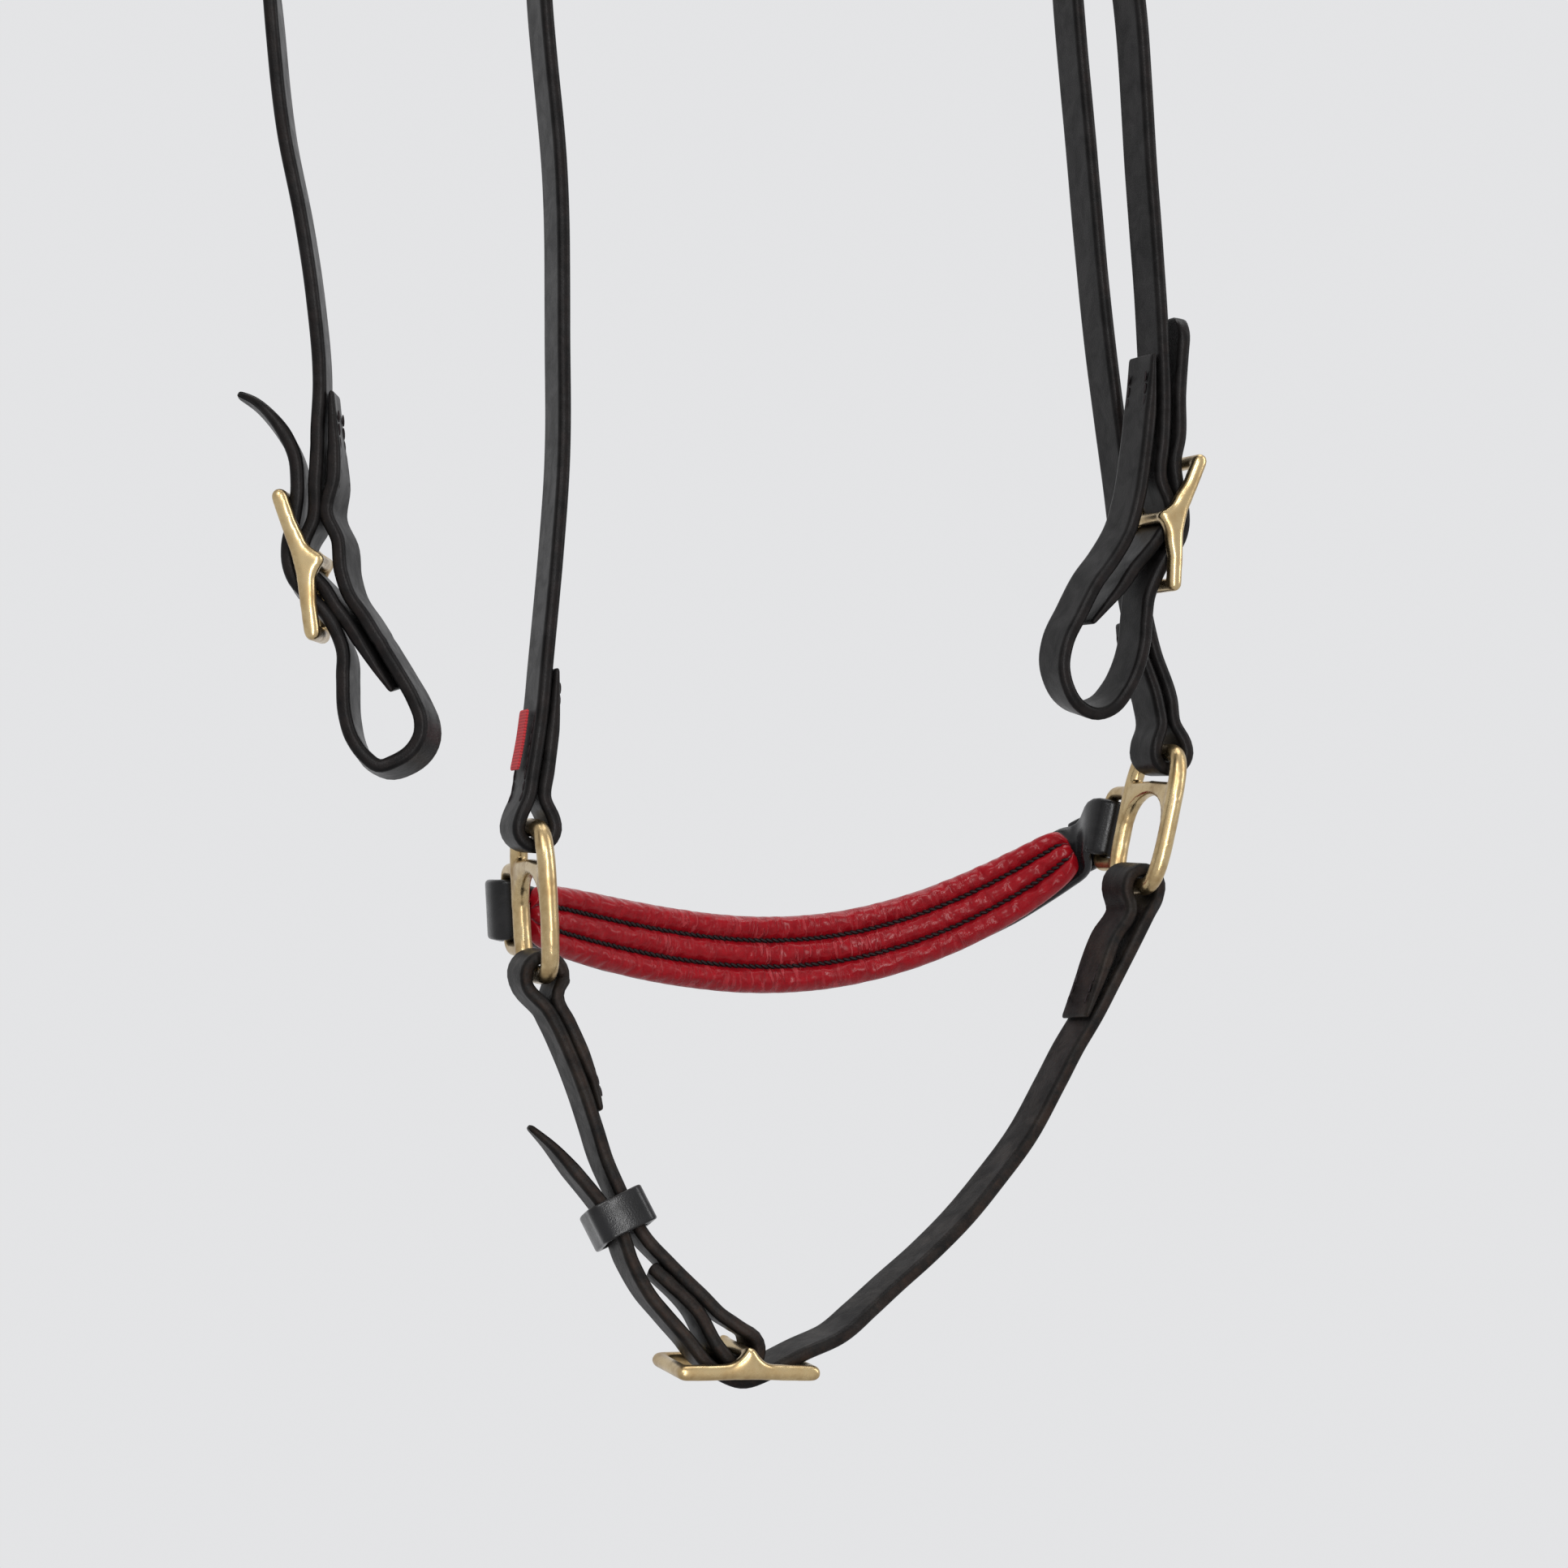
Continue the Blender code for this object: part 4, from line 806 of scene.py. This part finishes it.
down = [(-57.4, 14, -264), (-54.1, 12.5, -306), (-54.5, 9.5, -339), (-55.5, 6.5, -371), (-58.0, 3.5, -393),
        (-60.8, 1.5, -416), (-61.9, 1, -426), (-64.2, 0.4, -440), (-65.2, 0.2, -445.6)]
inner = [(-61.6, 0.2, -445.8), (-60.8, 0.4, -440), (-59.2, 1, -428), (-58.5, 1.5, -417)]
top = ring_point(LEFT_RING, LEFT_ROLL, 0, RING_HALF_HEIGHT)
left_hanger = Route([*cheek_top(HANGER), *down, *arc(top, FOLD, 155, 380, 9), *inner])
dress_strap("left_hanger_strap", left_hanger, ends=("square", "skived"), seed=23)

seams = two_rows(right_hanger, -20, -3, 1, thick=THICK * 0.8) + two_rows(right_hanger, -65, -48, 1)
seams += two_rows(left_hanger, -22, -3, -1, thick=THICK * 0.8) + two_rows(left_hanger, -74, -55, -1)
seams += two_rows(left_hanger, 3, 20, 1)
add_thread("hanger_stitches", stitches(seams), "head")

# %% [markdown]
# The chin strap is older, drier leather. The left part is folded round its ring and round the buckle's bar.
# The right part runs through the buckle, turns back and lies in the keeper, with its pointed tip standing off.

# %% Chin straps
foot = ring_point(LEFT_RING, LEFT_ROLL, 0, -RING_HALF_HEIGHT)
inner = [(-50.6, -7.5, -516.5), (-52.3, -5.5, -508), (-56.8, -3, -496), (-59.0, -1.8, -491)]
down = [(-61.2, -3, -494), (-57.0, -5, -503.4), (-53.9, -7, -512.5), (-52.0, -8, -519), (-50.0, -10, -526.7),
        (-47.9, -12, -532.5), (-45.7, -13.9, -538), (-42.8, -15.8, -543.2), (-38.0, -18, -548.8),
        (-31.6, -21, -555.6), (-27.4, -23.5, -560.0)]
over = [(-23.6, -25.5, -562.8), (-20.8, -26, -564.9), (-20.1, -26, -567.9), (-21.7, -26, -570.7),
        (-24.9, -26, -570.8)]
back = [(-28.6, -25.8, -567.3), (-33.2, -22.5, -558.9), (-41.0, -18.0, -550.3)]
left_chin = Route([*inner, *arc(foot, FOLD, -14, 200, 9), *down, *over, *back])
dress_strap("left_chin_strap", left_chin, CHIN_LEATHER, "chin", ends=("skived", "square"), seed=29)

foot = ring_point(RIGHT_RING, RIGHT_ROLL, 0, -RING_HALF_HEIGHT)
inner = [(69.2, -4, -498.2), (73.8, -3, -488.9), (78.8, -1.5, -479), (83.0, -0.8, -473)]
down = [(86.9, -1.5, -474.5), (77.5, -3, -489.9), (72.4, -4, -497.8), (66.9, -5, -505.3),
        (61.8, -6.5, -512.9), (53.4, -8.5, -525), (44.0, -11, -534.7), (34.9, -13.5, -543),
        (25.5, -16, -550), (16.3, -18.5, -556), (7.6, -21.5, -561.5), (-0.6, -24.8, -566)]
through = CHIN.line((14, UPPER_REST - 0.3), (9, 2.9), (4.5, 5.3), (0, UPPER_CREST), (-4, 5.5), (-8, 3.0))
tip = [(-35.6, -24.4, -565), (-39.5, -21.6, -560), (-42.6, -19.5, -555.8), (-46.0, -17, -549),
       (-48.9, -14.5, -540.2), (-52.1, -12.6, -535.4), (-56.8, -10.5, -529.2), (-62.1, -9.5, -522.8),
       (-66.5, -9, -518.6)]
right_chin = Route([*inner, *reversed(arc(foot, FOLD, -25, 178, 9)), *down, *through, *tip])
dress_strap("right_chin_strap", right_chin, CHIN_LEATHER, "chin", ends=("skived", "point"), seed=31)

seams = two_rows(left_chin, 3, 22, -1, thick=THICK * 0.8) + two_rows(right_chin, 3, 22, 1, thick=THICK * 0.8)
seams += two_rows(left_chin, -16, -3, -1)
add_thread("chin_stitches", stitches(seams), "chin")

# %% [markdown]
# A keeper is a short, thinner strap wrapped round the stack and butted on the inside, where its seam shows.
# The tab on the left hanger is a folded scrap of red cloth, kept plain.

# %% Keepers and tab
KEEPER_WALL, KEEPER_CORNER, KEEPER_DOWN, STACK = 1.8, 1.9, (-28, -2.7), 11.2


def keeper_route(centre, along, out, inner_height, inner_width):
    """A rounded rectangle round the stack, open by a hair at the seam."""
    across = out.cross(along).normalized()
    out = along.cross(across)
    half_w, half_h = (inner_width + KEEPER_WALL) / 2, (inner_height + KEEPER_WALL) / 2
    line = [(-0.06, -half_h), (-half_w * 0.5, -half_h)]
    for su, sv, start in ((-1, -1, 270), (-1, 1, 180), (1, 1, 90), (1, -1, 0)):
        for i in range(5):
            turn = math.radians(start - 22.5 * i)
            line.append((su * (half_w - KEEPER_CORNER) + KEEPER_CORNER * math.cos(turn),
                         sv * (half_h - KEEPER_CORNER) + KEEPER_CORNER * math.sin(turn)))
        if su != sv:
            line.append((0.5 * half_w, sv * half_h))
    line.append((0.06, -half_h))
    return Route([centre + across * a + out * b for a, b in line], along)


def dress_keeper(name, centre, along, out, inner_height, length=9.0, material=BRIDLE_LEATHER):
    route = keeper_route(centre, along.normalized(), out, inner_height, WIDTH + 1.0)
    dress_strap(name, route, material, name, width=length, thick=KEEPER_WALL, step=0.6, edge=0.5,
                seed=len(name))


for name, seat in (("left_crown_keeper", LEFT_CROWN), ("right_crown_keeper", RIGHT_CROWN),
                   ("hanger_keeper", HANGER)):
    dress_keeper(name, seat.at(*KEEPER_DOWN), seat.up, seat.out, STACK)
dress_keeper("chin_keeper", Vector((-47.28, -14.1, -539.28)), Vector((7.2, -5.8, -16.5)),
             Vector((-0.89, 0, -0.46)), 9.75, length=8.5, material=PATENT_LEATHER)
tab = Route([(-64.6, 1.0, -426), (-65.7, 0.7, -433), (-67.1, 0.4, -439.6)])
dress_strap("hanger_tab", tab, RED_CLOTH, "head", "red_cloth", width=6.0, thick=0.6, step=0.5, edge=0.15)

# %% [markdown]
# The browband crosses the forehead, and each end is lapped into a loop that the two poll straps pass through.

# %% Browband
SOFT, BROW_WIDTH = 2.6, 16.0
BROW_LEFT, BROW_RIGHT = Vector((-92.7, 0, -98.0)), Vector((65.2, 0, -98.0))
LOOP_DEPTH, LOOP_HALF, LOOP_CORNER = WIDTH / 2 + 1.0 + SOFT / 2, THICK + GAP + 1.5 + SOFT / 2, 2.4


def brow_loop(centre, hand):
    """One end of the browband: in along the outside, round the poll straps, and lapped on the inside."""
    line = [(hand * (LOOP_HALF - 2.2), 36, -1), (hand * LOOP_HALF, LOOP_DEPTH + 4, 0)]
    for side, start in ((1, 0), (-1, -90)):
        for i in range(4):
            turn = math.radians(start - 30 * i)
            line.append((hand * (side * (LOOP_HALF - LOOP_CORNER) + LOOP_CORNER * math.cos(turn)),
                         LOOP_CORNER - LOOP_DEPTH + LOOP_CORNER * math.sin(turn), 0))
    line += [(-hand * LOOP_HALF, LOOP_DEPTH - 1, 0), (-hand * (LOOP_HALF - 3.0), 18, 0)]
    return [centre + Vector(point) for point in line]


front = [BROW_LEFT + Vector((4, 38, -1)), BROW_LEFT + Vector((30, 66, -2)),
         (BROW_LEFT + BROW_RIGHT) / 2 + Vector((0, 80, -3)),
         BROW_RIGHT + Vector((-30, 66, -2)), BROW_RIGHT + Vector((-4, 38, -1))]
brow = Route([*reversed(brow_loop(BROW_LEFT, -1)), *front, *brow_loop(BROW_RIGHT, 1)], Vector((0, 0, 1)))
dress_strap("browband", brow, body="browband", width=BROW_WIDTH, thick=SOFT, edge=1.0, seed=41)
seams = two_rows(brow, 2, 12, 1, BROW_WIDTH, SOFT) + two_rows(brow, -12, -2, 1, BROW_WIDTH, SOFT)
add_thread("browband_stitches", stitches(seams), "browband")

# %% [markdown]
# A casting has no sharp inner corners: where two rods meet, the metal runs together in a fillet. We merge a
# copy of each solid, remesh it finely and smooth it, which rounds every facet and every joint at once. How
# far the smoothing moves a vertex outwards tells where the hollows are, and the tarnish reads that as an
# attribute. Smoothing also thins the rods, so their skin is moved out again a little.

# %% Castings
CAST_ROUNDS, CAST_VOXEL, CAST_SKIN = 30, 0.00036, 0.25
CASTINGS = {"left_bit_buckle": "head", "right_bit_buckle": "head", "left_crown_buckle": "head",
            "right_crown_buckle": "head", "hanger_buckle": "head", "chin_buckle": "chin",
            "left_ring": "noseband", "right_ring": "noseband"}


def cast(name, body):
    """A finely remeshed and smoothed copy of a brass solid, with its hollows marked."""
    shape = bmesh.new()
    shape.from_mesh(nodes[name].data)
    bmesh.ops.remove_doubles(shape, verts=shape.verts[:], dist=1e-6)
    rough = bpy.data.meshes.new(name + "_rough")
    shape.to_mesh(rough)
    shape.free()
    holder = add_object(name + "_rough", rough)
    fine = holder.modifiers.new("remesh", "REMESH")
    fine.mode = "VOXEL"
    fine.voxel_size = CAST_VOXEL
    worn = holder.modifiers.new("wear", "SMOOTH")
    worn.factor = 0.5
    stages = []
    for iterations in (1, CAST_ROUNDS):
        worn.iterations = iterations
        bpy.context.view_layer.update()
        evaluated = holder.evaluated_get(bpy.context.evaluated_depsgraph_get())
        stages.append(bpy.data.meshes.new_from_object(evaluated))
    bpy.data.objects.remove(holder)
    shape = bmesh.new()
    shape.from_mesh(stages[1])
    shape.normal_update()
    hollow = shape.verts.layers.float.new("hollow")
    for v, before in zip(shape.verts, stages[0].vertices):
        rise = (v.co - before.co).dot(v.normal) / MM
        v[hollow] = min(1.0, max(0.0, rise * 7.0 - 0.15))
        v.co += v.normal * (CAST_SKIN + 0.02 * noise.noise(v.co * 240)) * MM
    dress(name, shape, BRASS, body)


for name, body in CASTINGS.items():
    cast(name, body)

# %% [markdown]
# The noseband is a black strap with a stuffed red lining. The strap droops from ring to ring, leans back a
# little at its middle, and its ends are folded round the rings' side bars.

# %% Noseband strap
NOSE_TAPER, NOSE_HEIGHT, NOSE_END, PAD_HEIGHT, PAD_CROWN = 0.1, 17.4, 14.0, 20.5, 6.2
NOSE_REACH, NOSE_DROOP, NOSE_LEAN = 32.0, 23.2, 12.0
BAR_MIDDLE = (SIDE_BAR_TOP + SIDE_BAR_FOOT) / 2
NOSE_LEFT = ring_point(LEFT_RING, LEFT_ROLL, SIDE_BAR_REACH, BAR_MIDDLE)
NOSE_RIGHT = ring_point(RIGHT_RING, RIGHT_ROLL, SIDE_BAR_REACH, BAR_MIDDLE)


def nose_point(share):
    along = 0.5 - 0.5 * math.cos(math.pi * share)
    reach = NOSE_REACH * math.sin(math.pi * along) ** 0.6
    droop = NOSE_DROOP * math.sin(math.pi * along**1.3) ** 0.75
    droop += NOSE_TAPER * PAD_HEIGHT / 2 * along * math.sin(math.pi * along) ** 0.5
    return NOSE_LEFT.lerp(NOSE_RIGHT, along) + Vector((0, reach, -droop))


def nose_up(place):
    """Which way the band's width points at a place."""
    along = min(1.0, max(0.0, (place.x - NOSE_LEFT.x) / (NOSE_RIGHT.x - NOSE_LEFT.x)))
    roll = math.radians(LEFT_ROLL + (RIGHT_ROLL - LEFT_ROLL) * along)
    lean = math.radians(NOSE_LEAN) * math.sin(math.pi * along)
    return Vector((math.sin(roll), math.sin(lean), math.cos(roll) * math.cos(lean)))


def nose_width(share):
    middle = NOSE_HEIGHT * (1 - NOSE_TAPER * share)
    reach = 0.33 if share < 0.5 else 0.36
    return NOSE_END + (middle - NOSE_END) * min(1.0, max(0.0, (reach - abs(share - 0.5)) * 9))


def bar_turn(bar, roll, hand):
    """Points round a ring's side bar."""
    place = Matrix.Rotation(math.radians(roll), 3, "Y")
    fold = SIDE_BAR + GAP + SOFT / 2
    turns = []
    for i in range(9):
        turn = math.pi * i / 8
        turns.append(bar + place @ Vector((hand * fold * math.cos(turn), -fold * math.sin(turn), 0)))
    return turns


left_lap = [Vector((-2.2, 5.5, 0)) + nose_point(3 / 28), Vector((-3.4, 3.4, 0)) + nose_point(1.6 / 28)]
right_lap = [Vector((3.4, 3.4, 0)) + nose_point(26.4 / 28), Vector((2.2, 5.5, 0)) + nose_point(25 / 28)]
middle = [nose_point(i / 28) for i in range(3, 26)]
band = Route([*left_lap, *bar_turn(NOSE_LEFT, LEFT_ROLL, -1), *middle,
              *reversed(bar_turn(NOSE_RIGHT, RIGHT_ROLL, 1)), *right_lap], nose_up)
dress_strap("noseband_strap", band, PATENT_LEATHER, "noseband", width=nose_width, thick=SOFT, edge=1.0,
            seed=47)

# %% [markdown]
# The lining is smooth red leather. Where it is bent inwards it crinkles across its channels, and the crests
# of the crinkles carry a pale painted highlight. Beside the thread it is dark. Both masks are stored on the
# mesh.

# %% Red lining's finish
def lining_look(face, hollow, crest_highlight, beside_seam):
    look, tree, shader = blank_look("red_lining")
    vector = attribute(tree, "flat")["Vector"]
    grain = placed_group(tree, GRAIN, vector, Pores=1300.0, Creases=420.0)
    stretched = node_in(tree, "ShaderNodeMapping", Vector=vector, Scale=(1.0, 0.16, 0.3))
    cracks = node_in(tree, "ShaderNodeTexNoise", Vector=stretched.outputs["Vector"], Scale=900.0, Detail=3.0,
                     Distortion=0.8)
    ridge = node_in(tree, "ShaderNodeMapRange", cracks.outputs["Fac"], interpolation_type="SMOOTHSTEP",
                    From_Min=0.52, From_Max=0.62)
    crinkle_and_glint = attribute(tree, "crinkle_and_glint")["Fac"]
    spread = node_in(tree, "ShaderNodeMath", ridge.outputs["Result"], crinkle_and_glint, operation="MULTIPLY").outputs[0]
    # A pale painted highlight on the crinkles' crests, strongest in the middle of the pad.
    pale = node_in(tree, "ShaderNodeMath", spread, 0.35, operation="MULTIPLY").outputs[0]
    colour = mixed(tree, face, hollow, grain["Hollows"])
    colour = mixed(tree, colour, crest_highlight, pale)
    colour = mixed(tree, colour, beside_seam, attribute(tree, "seam")["Fac"])
    feed(tree, colour, shader.inputs["Base Color"])
    feed(tree, 0.17, shader.inputs["Specular IOR Level"])
    roughened(tree, shader, grain["Hollows"], 0.20, 0.30)
    fine = node_in(tree, "ShaderNodeMath", grain["Height"], 0.22, operation="MULTIPLY").outputs[0]
    height = node_in(tree, "ShaderNodeMath", spread, 1.3, fine, operation="MULTIPLY_ADD")
    embossed(tree, shader, height.outputs[0], 0.2)
    return look


# The third colour is the pale pink painted highlight on the crinkles' crests.
RED_LINING = lining_look((0.255, 0.004, 0.0085), (0.205, 0.003, 0.007), (0.50, 0.09, 0.10),
                         (0.05, 0.004, 0.008))
print("lining's finish ready")

# %% [markdown]
# The lining is sewn down along two rows, so it stands up in three channels. It is made flat, pinned where it
# is sewn and inflated as cloth that is a little too long, and then bent onto the band. The cloth's settings
# suit a larger piece, so the flat lining is made ten times too large.

# %% Lining, sewn flat and inflated
PAD_START, PAD_SPAN = 0.115, 0.777
BIG, COLUMNS, ROWS = 0.01, 208, 24
SEAM_ACROSS = 1 / 3
pad_line = Route([nose_point(PAD_START + PAD_SPAN * i / 40) for i in range(41)], nose_up)


def pad_swell(share):
    """How much of its height and depth the pad has: less towards its two ends."""
    return max(0.25, (2 * math.sqrt(max(0.0, share * (1 - share)))) ** 0.28)


def pad_half(share):
    """Half the pad's width between its edges."""
    return PAD_HEIGHT / 2 * pad_swell(share) * (1 - NOSE_TAPER * (PAD_START + PAD_SPAN * share))


def pad_profile(across):
    """Depth over the band from one edge, -1, to the other, 1: three hills between seams."""
    hill = abs(math.sin(1.5 * math.pi * (across + 1)))
    return (0.42 + 0.58 * hill**0.7) * min(1.0, 0.55 + 4.5 * (1 - abs(across)))


def lining_grid():
    shape = bmesh.new()
    bmesh.ops.create_grid(shape, x_segments=COLUMNS, y_segments=ROWS, size=1.0)
    shape.verts.ensure_lookup_table()
    return shape


print("lining", round(pad_line.length, 1), "mm long")

# %% Flat lining
FLAT_SHARE = 0.82
shape = lining_grid()
across_of, pinned = [], []
for i, v in enumerate(shape.verts):
    share, across = (v.co.x + 1) / 2, v.co.y
    depth = PAD_CROWN * pad_swell(share) * (pad_profile(across) * FLAT_SHARE)
    wobble = 0.10 * noise.noise(Vector((share * 60, across * 2, 3)))
    v.co = Vector((share * pad_line.length, across * pad_half(share), depth + wobble)) * BIG
    across = v.co.y / (BIG * pad_half(v.co.x / BIG / pad_line.length))
    across_of.append(across)
    if min(abs(abs(across) - SEAM_ACROSS), abs(abs(across) - 1)) < 0.02 or v.is_boundary:
        pinned.append(i)
pad_mesh = bpy.data.meshes.new("lining")
shape.to_mesh(pad_mesh)
shape.free()
pad = add_object("lining_flat", pad_mesh)
flat_places = [v.co.copy() / BIG for v in pad_mesh.vertices]
print("pinned", len(pinned), "of", len(flat_places))

# %% Inflating it
CLOTH = {"quality": 6, "mass": 0.25, "tension_stiffness": 18, "compression_stiffness": 18,
         "shear_stiffness": 4, "bending_stiffness": 0.08, "vertex_group_mass": "sewn", "pin_stiffness": 3.0,
         "use_pressure": True, "uniform_pressure_force": 5.0, "shrink_min": -0.035}


def inflate(piece, pins, frames=20):
    """Cloth held along its seams, a little too large for its place, blown up from behind."""
    piece.vertex_groups.new(name="sewn").add(pins, 1.0, "REPLACE")
    cloth = piece.modifiers.new("cloth", "CLOTH")
    for name, value in CLOTH.items():
        setattr(cloth.settings, name, value)
    cloth.settings.effector_weights.gravity = 0.0
    cloth.collision_settings.use_self_collision = False
    cloth.point_cache.frame_start, cloth.point_cache.frame_end = 1, frames
    for number in range(1, frames + 1):
        bpy.context.scene.frame_set(number)
    evaluated = piece.evaluated_get(bpy.context.evaluated_depsgraph_get())
    places = [v.co.copy() for v in evaluated.data.vertices]
    piece.modifiers.remove(cloth)
    bpy.context.scene.frame_set(1)
    return places


blown = flat_places
blown = [p / BIG for p in inflate(pad, pinned)]
print("lining stands", round(max(p.z for p in blown), 2), "mm before it is capped")
bpy.data.objects.remove(pad)

# %% Lining, bent onto the band
LINING_BACK, LINING_STRAY = SOFT / 2 + GAP + 0.35, 3.0
shape = lining_grid()
flat = shape.verts.layers.float_vector.new("flat")
crinkle_and_glint = shape.verts.layers.float.new("crinkle_and_glint")
seam = shape.verts.layers.float.new("seam")
for v, was, now, across in zip(shape.verts, flat_places, blown, across_of):
    share = was.x / pad_line.length
    limit = PAD_CROWN * pad_swell(share) * (pad_profile(across) + 0.10)
    moved = now - was
    if moved.length > LINING_STRAY:
        now = was + moved * LINING_STRAY / moved.length
    v.co = Vector((now.x, now.y, min(now.z, limit)))
    v[flat] = v.co * MM
    # Where the lining crinkles and its crests get their painted highlight: most in its middle.
    v[crinkle_and_glint] = min(1.0, max(0.0, 1.35 - abs(share - 0.5) * 3.4)) * (0.6 + 0.8 * noise.noise(was * 0.12))
    v[seam] = max(0.0, 1 - abs(abs(across) - SEAM_ACROSS) * 16)
rim = [e for e in shape.edges if e.is_boundary]
back = bmesh.ops.extrude_edge_only(shape, edges=rim)["geom"]
for v in [g for g in back if isinstance(g, bmesh.types.BMVert)]:
    v.co.z = 0.0
    v.co.y *= 0.97
bmesh.ops.holes_fill(shape, edges=[g for g in back if isinstance(g, bmesh.types.BMEdge)], sides=0)
bmesh.ops.triangulate(shape, faces=[f for f in shape.faces if len(f.verts) > 4], quad_method="BEAUTY",
                      ngon_method="BEAUTY")
for v in shape.verts:
    place, ahead, side, face = pad_line.at(v.co.x)
    v.co = (place + side * v.co.y + face * (LINING_BACK + v.co.z)) * MM
bmesh.ops.recalc_face_normals(shape, faces=shape.faces[:])
lining = dress("noseband_pad", shape, RED_LINING, "noseband")
rounding = lining.modifiers.new("rounding", "SUBSURF")
rounding.levels = rounding.render_levels = 1

# %% [markdown]
# Two rows of thick black thread hold the lining down. Twisted thread looks like a small rope, because each
# stitch lies aslant and overlaps the next.

# %% Lining's thread
ROPE_PITCH, ROPE_BEAD = 1.7, (1.18, 0.42, 0.46)
shape = bmesh.new()
count = round(pad_line.length / ROPE_PITCH)
for row in (-1, 1):
    for i in range(2, count - 1):
        share = (i + 0.5) / count
        height = LINING_BACK + PAD_CROWN * pad_swell(share) * 0.42 + 0.62
        slant = -26 + 8 * noise.noise(Vector((i * 0.7, row, 0)))
        spot = pad_line.at(pad_line.length * share)
        add_bead(shape, spot, row * pad_half(share) / 3, height, slant, ROPE_BEAD)
add_thread("lining_thread", shape, "noseband")
